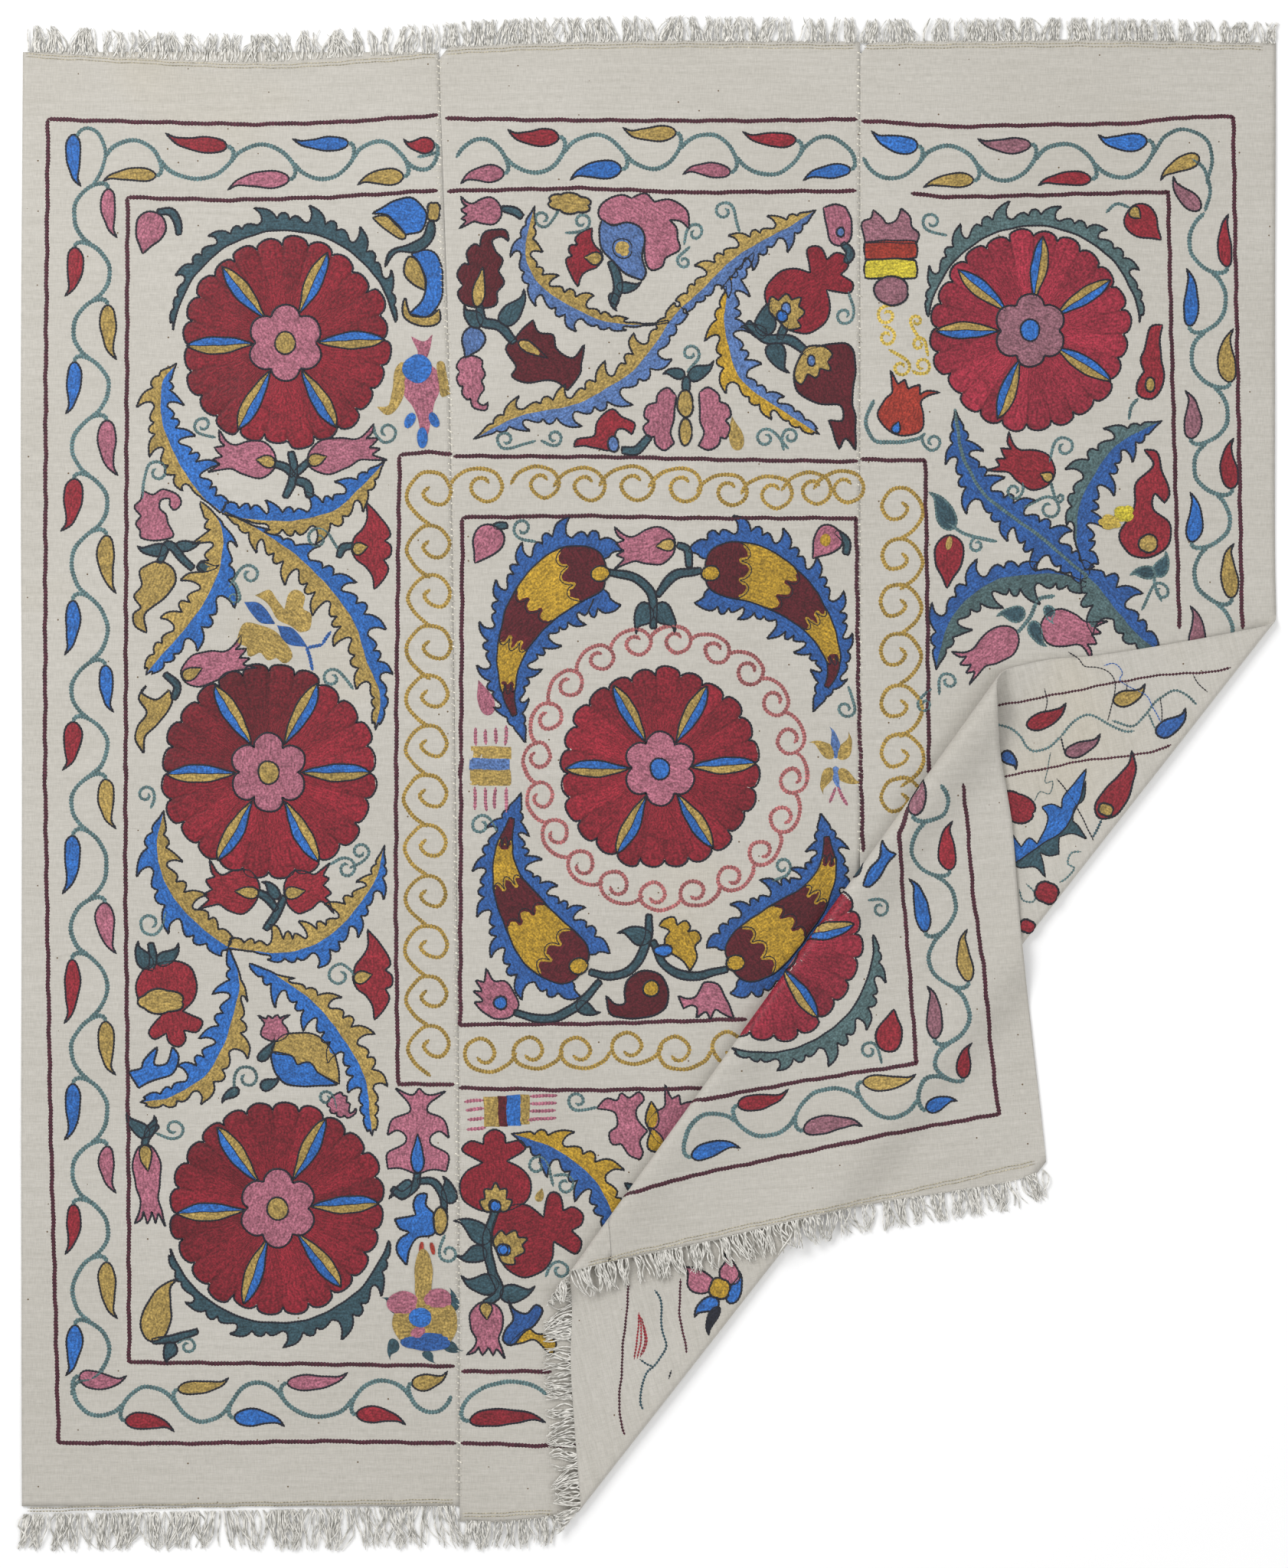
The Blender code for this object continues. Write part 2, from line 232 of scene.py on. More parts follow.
def row_lines(name, corners):
    """Two points on each row of a panel: level rows, or rows parallel to the nearer fold."""
    if name == "panel_left":
        y = np.linspace(corners[:, 1].max(), corners[:, 1].min(), 200)
        return np.stack([np.stack([0 * y - 1, y], 1), np.stack([0 * y, y], 1)], 1)
    ends = np.array([0.0, 1.0])

    def first(place):
        return placed(FOLD_1_START, ALONG_1, ACROSS_1, ends, np.full(2, place))

    def second(share, more):
        line = placed(FOLD_2_START, ALONG_2, -ACROSS_2, ends, roll_2(ends) * share + more)
        return unfolded(1, line)

    past = local(corners, FOLD_1_START, ALONG_1, ACROSS_1)[1]
    beyond = past.max() - local(unfolded(2, first(FALL)), FOLD_1_START, ALONG_1, ACROSS_1)[1].min()
    half = math.pi - 1.0
    keys = [  # a line, and the number of rows from the one before
        (first(past.min() + 1e-4), 0),
        (first(-ROLL_1), round(-past.min() / ROW_STEP)),
        (first(half * ROLL_1), 14),
        (unfolded(1, first(-ROLL_1 - 2 * SETTLE)), 10),
        (second(-1.0, 0.0), 12),
        (second(half, 0.0), 14),
        (second(half, 2 * SETTLE), 10),
        (unfolded(2, first(-ROLL_1 - 2 * SETTLE)), 2),
        (unfolded(2, first(0.0)), 10),
        (unfolded(2, first(FALL)), 10),
        (unfolded(2, first(FALL + max(beyond, 0.02))), round(max(beyond, 0.02) / ROW_STEP)),
    ]
    lines = [keys[0][0]]
    for (line_0, _), (line_1, steps) in zip(keys, keys[1:]):
        lines += [line_0 + (line_1 - line_0) * (i + 1) / steps for i in range(steps)]
    return np.array(lines)


def ruled(outline, corners, lines):
    """A grid on a flat outline: each row runs between the two places where its line crosses it.

    The row nearest to each corner is moved to pass through that corner."""
    step = lines[:, 1] - lines[:, 0]
    step /= np.linalg.norm(step, axis=1)[:, None]
    side = np.stack([-step[:, 1], step[:, 0]], 1)
    for corner in corners:
        off = np.einsum("ij,ij->i", corner - lines[:, 0], side)
        nearest = np.abs(off).argmin()
        lines[nearest] += side[nearest] * off[nearest]
    away = outline[None] - lines[:, :1]
    height = np.einsum("ijk,ik->ij", away, side)
    along = np.einsum("ijk,ik->ij", away, step)
    height_1, along_1 = np.roll(height, -1, 1), np.roll(along, -1, 1)
    crosses = (height * height_1 <= 0) & (height != height_1)
    share = height / np.where(crosses, height - height_1, 1.0)
    at = along + share * (along_1 - along)
    low = np.where(crosses, at, np.inf).min(1)
    high = np.where(crosses, at, -np.inf).max(1)
    keep = high - low > 2e-4
    low, high, start, step = low[keep], high[keep], lines[keep, 0], step[keep]
    across = low[:, None] + (high - low)[:, None] * np.linspace(0, 1, COLUMNS + 1)
    return start[:, None] + step[:, None] * across[..., None]


def grid_faces(rows, columns, first=0):
    """Four corners of each cell of a grid, from the number of its first vertex."""
    i, j = np.meshgrid(np.arange(rows - 1), np.arange(columns - 1), indexing="ij")
    corner = first + (i * columns + j).ravel()
    return np.stack([corner, corner + 1, corner + columns + 1, corner + columns], 1)


def make_mesh(name, points, quads, uv, triangles=(), colours=None):
    """A mesh from arrays: vertices, faces of four and of three, a UV pair and a colour each."""
    triangles = np.asarray(triangles, np.int32).reshape(-1, 3)
    mesh = bpy.data.meshes.new(name)
    mesh.vertices.add(len(points))
    mesh.vertices.foreach_set("co", np.asarray(points, np.float32).ravel())
    corners = np.concatenate([quads.ravel(), triangles.ravel()]).astype(np.int32)
    mesh.loops.add(len(corners))
    mesh.loops.foreach_set("vertex_index", corners)
    starts = np.concatenate([
        np.arange(len(quads)) * 4, len(quads) * 4 + np.arange(len(triangles)) * 3
    ])
    mesh.polygons.add(len(starts))
    mesh.polygons.foreach_set("loop_start", starts.astype(np.int32))
    mesh.update(calc_edges=True)
    layer = mesh.uv_layers.new(name="flat" if colours is None else "stitch")
    layer.data.foreach_set("uv", np.asarray(uv, np.float32)[corners].ravel())
    if colours is not None:
        silk = mesh.color_attributes.new("silk", "FLOAT_COLOR", "POINT")
        rgba = np.concatenate([colours, np.ones((len(colours), 1))], 1)
        silk.data.foreach_set("color", rgba.astype(np.float32).ravel())
    mesh.shade_smooth()
    piece = bpy.data.objects.new(name, mesh)
    bpy.context.scene.collection.objects.link(piece)
    return piece


def nodes_of(material_name):
    """A new material's node tree and its Principled shader."""
    material = bpy.data.materials.new(material_name)
    material.use_nodes = True
    return material, material.node_tree, material.node_tree.nodes["Principled BSDF"]


def add(tree, kind, settings=None, **links):
    """One node: settings are its properties, links its inputs, each a value or another's output."""
    made = tree.nodes.new(kind)
    for key, value in (settings or {}).items():
        setattr(made, key, value)
    for key, value in links.items():
        key = key.replace("_", " ").strip()
        socket = made.inputs[int(key)] if key.isdigit() else made.inputs[key]
        if isinstance(value, bpy.types.NodeSocket):
            tree.links.new(value, socket)
        else:
            socket.default_value = value
    return made


def ramp(tree, value, *stops):
    """A colour ramp on a value: stops are (place, colour)."""
    made = add(tree, "ShaderNodeValToRGB", _0=value)
    for _ in stops[2:]:
        made.color_ramp.elements.new(0.5)
    for element, (place, colour) in zip(made.color_ramp.elements, stops):
        element.position = place
        element.color = (*colour, 1.0) if len(colour) == 3 else colour
    return made.outputs["Color"]


def mixed(tree, blend, share, one, two):
    """Two colours mixed by a named blend."""
    made = add(tree, "ShaderNodeMix", {"data_type": "RGBA", "blend_type": blend})
    for socket, value in zip((made.inputs[0], made.inputs[6], made.inputs[7]), (share, one, two)):
        if isinstance(value, bpy.types.NodeSocket):
            tree.links.new(value, socket)
        else:
            socket.default_value = value if isinstance(value, float) else (*value, 1.0)
    return made.outputs[2]


def shaded(tree, colour, *shades):
    """A colour times several ramps: each shade is a value, then the two stops of its ramp."""
    for value, *stops in shades:
        colour = mixed(tree, "MULTIPLY", 1.0, colour, ramp(tree, value, *stops))
    return colour


def maths(tree, operation, *values):
    """A Math node on up to three values, each a number or another node's output."""
    links = {f"_{number}": value for number, value in enumerate(values)}
    return add(tree, "ShaderNodeMath", {"operation": operation}, **links).outputs[0]


def noise(tree, vector, scale, detail):
    """Noise between 0 and 1 at a vector."""
    return add(tree, "ShaderNodeTexNoise", Vector=vector, Scale=scale, Detail=detail).outputs[0]


def dress(tree, shader, colour, roughness, specular, height=None, strength=0.0, depth=0.0):
    """Gives a shader its colour, roughness and shine, and a bump whose depth is in metres."""
    tree.links.new(colour, shader.inputs["Base Color"])
    shader.inputs["Roughness"].default_value = roughness
    shader.inputs["Specular IOR Level"].default_value = specular
    if height is not None:
        bump = add(tree, "ShaderNodeBump", Strength=strength, Distance=depth, Height=height)
        tree.links.new(bump.outputs[0], shader.inputs["Normal"])


LIGHT = 1.18  # how much brighter than its own colour a thing shows in this light


def linear(red, green, blue):
    """Colour of a thing seen as this, 0 to 255: a screen's power law, less the light's share."""
    seen = np.array([red, green, blue]) / 255.0
    return tuple(np.where(seen <= 0.04045, seen / 12.92, ((seen + 0.055) / 1.055) ** 2.4) / LIGHT)


CLOTH = linear(201, 197, 189)


def cotton(material_name, tint):
    """Woven cotton: threads both ways as stretched noise, slubs, seed flecks and pale stains."""
    material, tree, shader = nodes_of(material_name)
    flat = add(tree, "ShaderNodeUVMap", {"uv_map": "flat"}).outputs[0]

    def threads(stretch, scale, detail=2.0):
        moved = add(tree, "ShaderNodeMapping", Vector=flat, Scale=stretch).outputs[0]
        return noise(tree, moved, scale, detail)

    weft, warp = threads((0.10, 1.0, 1.0), 900.0), threads((1.0, 0.10, 1.0), 900.0)
    slub = threads((0.05, 1.0, 1.0), 260.0)
    patchy = threads((1.0, 1.0, 1.0), 5.0, 5.0)
    stain = threads((1.0, 1.4, 1.0), 2.2, 3.0)
    fleck = add(tree, "ShaderNodeTexVoronoi", Vector=flat, Scale=85.0, Randomness=1.0)
    chosen = add(tree, "ShaderNodeSeparateColor", _0=fleck.outputs["Color"]).outputs[0]
    small, few = maths(tree, "LESS_THAN", fleck.outputs[0], 0.09), maths(tree, "GREATER_THAN", chosen, 0.86)
    thread = maths(tree, "ADD", weft, warp)
    colour = shaded(
        tree, tint,
        (maths(tree, "MULTIPLY", thread, 0.5), (0.36, (0.88, 0.88, 0.875)), (0.62, (1.06, 1.06, 1.06))),
        (slub, (0.30, (0.95, 0.95, 0.94)), (0.66, (1.03, 1.03, 1.03))),
        (patchy, (0.30, (0.955, 0.95, 0.94)), (0.70, (1.02, 1.02, 1.02))),
        (stain, (0.60, (1.0, 1.0, 1.0)), (0.78, (1.0, 0.965, 0.89))),
    )
    colour = mixed(tree, "MIX", maths(tree, "MULTIPLY", small, few), colour, linear(110, 92, 70))
    dress(tree, shader, colour, 0.92, 0.25, maths(tree, "MULTIPLY_ADD", slub, 0.6, thread), 0.5, 0.0004)
    shader.inputs["Sheen Weight"].default_value = 0.15
    return material


cloth_material = cotton("cotton", CLOTH)
for panel in PANELS:
    left, right, top, bottom = panel_edges(panel)
    around = np.vstack([left, bottom[1:], right[::-1][1:], top[::-1][1:-1]])
    four = np.array([left[0], left[-1], right[0], right[-1]])
    flat = ruled(around, four, row_lines(panel, four))
    rows, columns = flat.shape[:2]
    upper = lay(flat, np.full((rows, columns), THICK))
    under = lay(flat, np.zeros((rows, columns)))
    faces = grid_faces(rows, columns)
    number = np.arange(rows * columns).reshape(rows, columns)
    rim = np.concatenate([number[0], number[1:, -1], number[-1, -2::-1], number[-2:0:-1, 0]])
    ahead = np.roll(rim, -1)
    count = rows * columns
    edge_1, edge_2 = flat[1, 0] - flat[0, 0], flat[1, -1] - flat[1, 0]
    if edge_1[0] * edge_2[1] - edge_1[1] * edge_2[0] > 0:
        faces = faces[:, ::-1]
        rim, ahead = ahead, rim
    sides_round = np.stack([ahead, rim, rim + count, ahead + count], 1)
    quads = np.vstack([faces, faces[:, ::-1] + count, sides_round])
    points = np.vstack([upper.reshape(-1, 3), under.reshape(-1, 3)])
    piece = make_mesh(panel + "_cloth", points, quads, np.tile(flat.reshape(-1, 2), (2, 1)))
    piece.data.materials.append(cloth_material)
    width, length = np.ptp(around, axis=0)
    x, y = around.T
    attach(piece, "root")
    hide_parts(panel)

# The fringes: loose warp ends of each panel, in tufts that lean together. Each strand is a thin
# bent tube that starts in the hem, and follows the folds with the cloth.
FRINGES = {  # hem, side of it that is outwards, length at its two ends in metres, strands
    "fringe_top_left": ("top_left", 1, 0.031, 0.034, 300),
    "fringe_top_middle": ("top_middle", 1, 0.030, 0.029, 300),
    "fringe_top_right": ("top_right", 1, 0.028, 0.025, 300),
    "fringe_bottom_left": ("bottom_left", -1, 0.041, 0.050, 300),
    "fringe_bottom_middle": ("bottom_middle", -1, 0.033, 0.034, 300),
    "fringe_bottom_right": ("bottom_right", -1, 0.034, 0.033, 300),
}
STRAND, BENDS = 0.00105, 7  # radius in metres, points along a strand
TUFT, LEAN, SWAY = 0.0105, 0.18, 0.08  # metres, then shares of a strand's length


def along_path(path, at):
    """Points at given distances along a path, and the path's direction there."""
    gaps = np.linalg.norm(np.diff(path, axis=0), axis=1)
    run = np.concatenate([[0.0], np.cumsum(gaps)])
    near = np.clip(np.searchsorted(run, at) - 1, 0, len(gaps) - 1)
    ahead = np.diff(path, axis=0)[near] / gaps[near][:, None]
    return np.stack([np.interp(at, run, path[:, k]) for k in (0, 1)], 1), ahead


def tubes(paths, radius):
    """Four-sided tubes round many paths: their points, faces and a UV of length and turn."""
    ahead = np.gradient(paths, axis=1)
    ahead /= np.linalg.norm(ahead, axis=2)[..., None]
    side = np.cross(ahead, [0.0, 0.0, 1.0])
    side /= np.maximum(np.linalg.norm(side, axis=2), 1e-6)[..., None]
    up = np.cross(side, ahead)
    angle = np.arange(4) * math.pi / 2 + 0.6
    ring = side[:, :, None] * np.cos(angle)[:, None] + up[:, :, None] * np.sin(angle)[:, None]
    points = paths[:, :, None] + ring * radius[..., None, None]
    strands, steps = paths.shape[:2]
    s, i, k = np.meshgrid(np.arange(strands), np.arange(steps - 1), np.arange(4), indexing="ij")
    base, after = (s * steps + i) * 4, (k + 1) % 4
    quads = np.stack([base + k, base + after, base + 4 + after, base + 4 + k], -1).reshape(-1, 4)
    run = np.broadcast_to(np.arange(steps)[None, :, None] * 0.005, (strands, steps, 4))
    turn_at = np.broadcast_to(np.arange(4)[None, None] * 0.001, run.shape)
    shift = np.arange(strands)[:, None, None] * 0.013
    return points.reshape(-1, 3), quads[:, ::-1], np.stack([turn_at + shift, run], -1).reshape(-1, 2)


def warp_ends(material_name):
    """Loose cotton thread: cream, and greyer in places."""
    material, tree, shader = nodes_of(material_name)
    flat = add(tree, "ShaderNodeUVMap", {"uv_map": "flat"}).outputs[0]
    tone = noise(tree, flat, 160.0, 1.0)
    colour = ramp(tree, tone, (0.34, linear(172, 170, 162)), (0.60, linear(247, 244, 237)))
    dress(tree, shader, colour, 0.9, 0.2)
    return material


chance = np.random.default_rng(11)
fringe_material = warp_ends("warp_ends")
for fringe, (hem, outwards, length_0, length_1, strands) in FRINGES.items():
    hem_line = edge(hem)
    whole = np.linalg.norm(np.diff(hem_line, axis=0), axis=1).sum()
    place_at = np.sort(chance.uniform(0.001, whole - 0.001, strands))
    root, ahead = along_path(hem_line, place_at)
    out = np.stack([-ahead[:, 1], ahead[:, 0]], 1) * outwards
    tuft = np.floor(place_at / TUFT + 0.7 * np.sin(place_at * 57.0)).astype(int)
    tuft -= tuft.min()
    lean = chance.normal(0.0, LEAN, tuft.max() + 1)[tuft]
    lean = np.clip(lean, -place_at / 0.02, (whole - place_at) / 0.02)
    middle = np.array([place_at[tuft == k].mean() if (tuft == k).any() else 0.0
                       for k in range(tuft.max() + 1)])[tuft]
    gather = 0.14 * (middle - place_at)
    share = np.linspace(0.0, 1.0, BENDS)
    length = length_0 + (length_1 - length_0) * place_at / whole
    length *= chance.uniform(0.86, 1.06, strands)
    sway = chance.normal(0.0, SWAY, (strands, 2))
    off = (
        gather[:, None] * np.sin(share * math.pi / 2)
        + length[:, None] * (lean[:, None] * share**1.5 + sway[:, :1] * np.sin(share * 4.0)
                             + sway[:, 1:] * np.sin(share * 7.0) * 0.5)
    )
    run = length[:, None] * share * np.cos(lean * 0.6)[:, None] - 0.0012
    flat = root[:, None] + out[:, None] * run[..., None] + ahead[:, None] * off[..., None]
    height = chance.uniform(0.0006, 0.0030, strands)[:, None] * (0.55 + 0.45 * np.sin(share * 3.0))
    height = height + 0.0004
    radius = STRAND * chance.uniform(0.7, 1.15, strands)[:, None] * (1.0 - 0.55 * share**3)
    paths = lay(flat, height)
    points, quads, uv = tubes(paths, radius)
    piece = make_mesh(fringe + "_strands", points, quads, uv)
    piece.data.materials.append(fringe_material)
    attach(piece, "root")
    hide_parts(fringe)

# The embroidery: silk in rows of chain stitch on the panels, worked before they were sewn. Every
# motif is a raised patch or ridge, drawn in the photo's pixels on the layer where it is seen.
HALF_STITCH, OUTLINE, THIN_OUTLINE, INNER_OUTLINE = 2.1, 3.4, 2.6, 2.8  # pixels
FILL_RISE, LINE_RISE, RIM, SUNK = 0.0005, 0.0010, 0.0002, -0.00012  # metres
ABOVE, PILE_RISE, BLOB_RISE = 0.0001, 0.00012, 0.0008  # metres over the cloth, where patches meet
CELL = 5.0  # pixels between the points of a filled patch
DYES = {  # red, green and blue as seen, 0 to 255
    "crimson": (132, 28, 42), "maroon": (84, 20, 30), "red": (138, 34, 46), "rose": (150, 40, 58),
    "pink": (164, 98, 116), "mauve": (140, 94, 106), "blue": (42, 102, 178),
    "periwinkle": (82, 112, 164), "deep_blue": (42, 86, 150), "gold": (166, 140, 76),
    "bright_gold": (176, 140, 40), "yellow": (196, 180, 52), "orange": (156, 52, 38),
    "teal": (50, 78, 88), "sage": (78, 102, 104), "vine": (84, 110, 112), "navy": (24, 27, 38),
    "plum": (70, 28, 42), "scroll": (156, 128, 60), "ring": (156, 92, 92), "cream": (212, 207, 194),
    "stitch": (176, 168, 146), "straw": (190, 164, 72),
}


def by_hand(xy):
    """Slips of the needle: waves of about a pixel, the same for all that lies together."""
    x, y = xy[..., 0], xy[..., 1]
    slip_x = np.sin(y / 10.5 + 2.0 * np.sin(x / 29.0)) + 0.6 * np.sin(y / 4.7 + x / 9.0)
    slip_y = np.sin(x / 11.5 + 2.0 * np.sin(y / 31.0)) + 0.6 * np.sin(x / 5.1 - y / 8.0)
    return xy + 0.5 * np.stack([slip_x, slip_y], -1)


class Work:
    """Silk gathered for the two meshes of one region: its filled patches and its lines."""

    def __init__(self, name, layer=0):
        self.name, self.layer = name, layer
        self.parts = {"silk": [], "lines": []}

    def add(self, kind, xy, rise, dye, uv, quads=None, triangles=None):
        """One patch: chart places, the rise of each, its dye or colours, and its faces."""
        xy = by_hand(xy)
        flat = unfolded(self.layer, chart(xy[:, 0], xy[:, 1]))
        points = lay(flat, -rise if self.layer == 1 else THICK + rise)
        if isinstance(dye, str):
            tone = 1.0 + 0.06 * chance.standard_normal()
            dye = np.tile(np.array(linear(*DYES[dye])) * tone, (len(xy), 1))
        faces = []
        for corners, count in ((quads, 4), (triangles, 3)):
            if corners is None or not len(corners):
                corners = np.zeros((0, count), int)
            a, b, c = (xy[corners[:, k]] for k in (0, 1, 2))
            area = (b - a)[:, 0] * (c - a)[:, 1] - (b - a)[:, 1] * (c - a)[:, 0]
            faces.append(np.where((area > 0)[:, None], corners[:, ::-1], corners))
        self.parts[kind].append((points, dye, uv, *faces))

    def make(self):
        """Joins the patches of each kind into a mesh of silk that rides on the cloth."""
        for kind, parts in self.parts.items():
            if not parts:
                continue
            first = np.concatenate([[0], np.cumsum([len(part[0]) for part in parts])])
            points, colours, uv = (np.vstack([part[k] for part in parts]) for k in (0, 1, 2))
            quads = np.vstack([part[3] + start for part, start in zip(parts, first)])
            threes = np.vstack([part[4] + start for part, start in zip(parts, first)])
            piece = make_mesh(f"{self.name}_{kind}", points, quads, uv, threes, colours)
            piece.data.materials.append(silk_material[kind])
            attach(piece, "root")


def evenly(path, step):
    """A path with its points at an even step."""
    path = np.asarray(path, float)
    run = np.concatenate([[0.0], np.cumsum(np.linalg.norm(np.diff(path, axis=0), axis=1))])
    at = np.linspace(0.0, run[-1], max(3, round(run[-1] / step)) + 1)
    return np.stack([np.interp(at, run, path[:, k]) for k in (0, 1)], 1), at


def sides(path):
    """The unit direction at each point of a path, and the same turned a quarter to the right."""
    ahead = np.gradient(path, axis=0)
    ahead /= np.maximum(np.linalg.norm(ahead, axis=1), 1e-9)[:, None]
    return ahead, np.stack([-ahead[:, 1], ahead[:, 0]], 1)


def stroke(work, path, width, dye, base=0.0, loops=(0.8, 1.18)):
    """A row of chain stitch: a ridge along a path, wide and high at the middle of each loop."""
    path, at = evenly(path, HALF_STITCH)
    side = sides(path)[1]
    number = np.arange(len(path))
    ends = np.minimum(1.0, 0.45 + 0.3 * np.minimum(number, number[::-1]))
    loop = np.where(number % 2, *loops) * ends
    across = np.array([-1.0, 0.0, 1.0])
    xy = path[:, None] + side[:, None] * (loop * width / 2)[:, None, None] * across[:, None]
    rise = base + np.stack([0 * loop + SUNK, LINE_RISE * (0.45 + 0.5 * loop), 0 * loop + SUNK], 1)
    uv = np.stack([xy[..., 0] * 0 + across * width / 2, xy[..., 0] * 0 + at[:, None]], -1) * PIXEL
    uv += chance.uniform(0.0, 1.0, 2)
    faces = grid_faces(len(path), 3)
    work.add("lines", xy.reshape(-1, 2), rise.ravel(), dye, uv.reshape(-1, 2), faces)


def round_path(x, y, wide, high, angle):
    """Places round a middle: half width times cosine, and half height times sine, turned up."""
    return np.stack([x + wide * np.cos(angle), y - high * np.sin(angle)], -1)


def closed_curve(knots):
    """A closed outline through knots, smooth but at those with a third value, which are points."""
    spots = np.array([knot[:2] for knot in knots], float)
    sharp = [k for k, knot in enumerate(knots) if len(knot) > 2]
    if not sharp:
        count = len(spots)
        curve = smooth(np.vstack([spots[-2:], spots, spots[:3]]), 6)
        return curve[12:12 + 6 * count + 1]
    order = np.roll(np.arange(len(spots)), -sharp[0])
    ring = np.vstack([spots[order], spots[order[:1]]])
    stops = [list(order).index(k) for k in sharp] + [len(spots)]
    runs = [smooth(ring[a:b + 1], 6)[:-1] for a, b in zip(stops, stops[1:])]
    return np.vstack(runs + [ring[:1]])


def fill(work, outline, dye, base=0.0, soft=6.0, angle=None):
    """Rows of silk inside a closed outline: even points joined in triangles, low at the rim."""
    rim = evenly(outline, 4.0)[0][:-1]
    low, high = rim.min(0), rim.max(0)
    ys = np.arange(low[1] + 1.0, high[1], CELL * 0.87)
    xs = np.arange(low[0] + 1.0, high[0], CELL)
    inner = np.stack(np.meshgrid(xs, ys), -1)
    inner[1::2, :, 0] += CELL / 2
    inner = inner.reshape(-1, 2)
    a, b = rim, np.roll(rim, -1, 0)
    x, y = inner[:, :1], inner[:, 1:]
    rises = np.where(b[:, 1] == a[:, 1], 1e-9, b[:, 1] - a[:, 1])
    meets = (b[:, 0] - a[:, 0]) * (y - a[:, 1]) / rises + a[:, 0]
    crossing = ((a[:, 1] > y) != (b[:, 1] > y)) & (x < meets)
    away = np.linalg.norm(inner[:, None] - rim[None], axis=2).min(1)
    inner = inner[(crossing.sum(1) % 2 == 1) & (away > CELL * 0.5)]
    spots = [Vector(spot) for spot in np.vstack([rim, inner]).tolist()]
    spots, _, faces, *_ = delaunay_2d_cdt(spots, [], [list(range(len(rim)))], 1, 1e-4)
    if not faces:
        return
    xy = np.array([tuple(spot) for spot in spots])
    away = np.linalg.norm(xy[:, None] - rim[None], axis=2).min(1)
    rise = base + RIM + (FILL_RISE - RIM) * (1.0 - (1.0 - np.minimum(away / soft, 1.0)) ** 2)
    if angle is None:
        spread = np.cov((rim - rim.mean(0)).T)
        angle = np.arctan2(*np.linalg.eigh(spread)[1][::-1, 1])
    turned = np.stack([xy[:, 0] * math.sin(angle) - xy[:, 1] * math.cos(angle),
                       xy[:, 0] * math.cos(angle) + xy[:, 1] * math.sin(angle)], 1)
    three = np.array([face for face in faces if len(face) == 3])
    work.add("silk", xy, rise, dye, turned * PIXEL + chance.uniform(0.0, 1.0, 2), None, three)


def motif(work, outline, dye, base=0.0, line="navy", width=OUTLINE):
    """A patch of silk with its outline in dark chain stitch."""
    fill(work, outline, dye, base)
    if line:
        stroke(work, outline, width, line, base)


def on_axis(knots, x_0, y_0, x_1, y_1, width):
    """A motif's own knots, along its axis from 0 to 1 and across it in widths, put on the chart."""
    axis = np.array([x_1 - x_0, y_1 - y_0], float)
    right = np.array([-axis[1], axis[0]]) / np.linalg.norm(axis) * width
    return [(*(np.array([x_0, y_0]) + t * axis + w * right), *more) for t, w, *more in knots]


LEAF = (
    (0, 0), (0.05, 0.32), (0.22, 0.52), (0.45, 0.46), (0.68, 0.18), (0.86, -0.16), (1.0, -0.74, 1),
    (0.84, -0.46), (0.62, -0.46), (0.34, -0.50), (0.10, -0.34),
)


def leaf(work, x_0, y_0, x_1, y_1, width, dye, line="navy", base=0.0):
    """A leaf from its round base to its thin tip, which curls to the left if width is positive."""
    knots = on_axis(LEAF, x_0, y_0, x_1, y_1, width)
    motif(work, closed_curve(knots), dye, base, line)


def silk(material_name, speckle_scale, low, high, links=False):
    """Silk thread: the dye of each patch, broken into bright and dark stitches by noise."""
    material, tree, shader = nodes_of(material_name)
    dye = add(tree, "ShaderNodeVertexColor", {"layer_name": "silk"}).outputs[0]
    stitch = add(tree, "ShaderNodeUVMap", {"uv_map": "stitch"}).outputs[0]
    long_way = add(tree, "ShaderNodeMapping", Vector=stitch, Scale=(1.0, 0.34, 1.0)).outputs[0]
    grain = noise(tree, stitch, speckle_scale, 2.0)
    streak = noise(tree, long_way, speckle_scale * 0.9, 1.0)
    patchy = noise(tree, stitch, 45.0, 1.0)
    colour = shaded(tree, dye, (grain, (0.36, (low,) * 3), (0.66, (high,) * 3)),
                    (streak, (0.34, (0.72,) * 3), (0.64, (1.30,) * 3)),
                    (patchy, (0.34, (0.88,) * 3), (0.66, (1.10,) * 3)))
    if links:
        along = add(tree, "ShaderNodeSeparateXYZ", _0=stitch).outputs[1]
        turns = maths(tree, "MULTIPLY", along, math.pi / (HALF_STITCH * PIXEL))
        link = maths(tree, "MULTIPLY_ADD", maths(tree, "SINE", turns), 0.5, 0.5)
        colour = shaded(tree, colour, (link, (0.0, (0.72,) * 3), (1.0, (1.34,) * 3)))
    dress(tree, shader, colour, 0.55, 0.35, maths(tree, "ADD", grain, streak), 0.6, 0.0006)
    return material


silk_material = {
    "silk": silk("silk_fill", 430.0, 0.62, 1.36),
    "lines": silk("silk_line", 520.0, 0.80, 1.22, True),
}

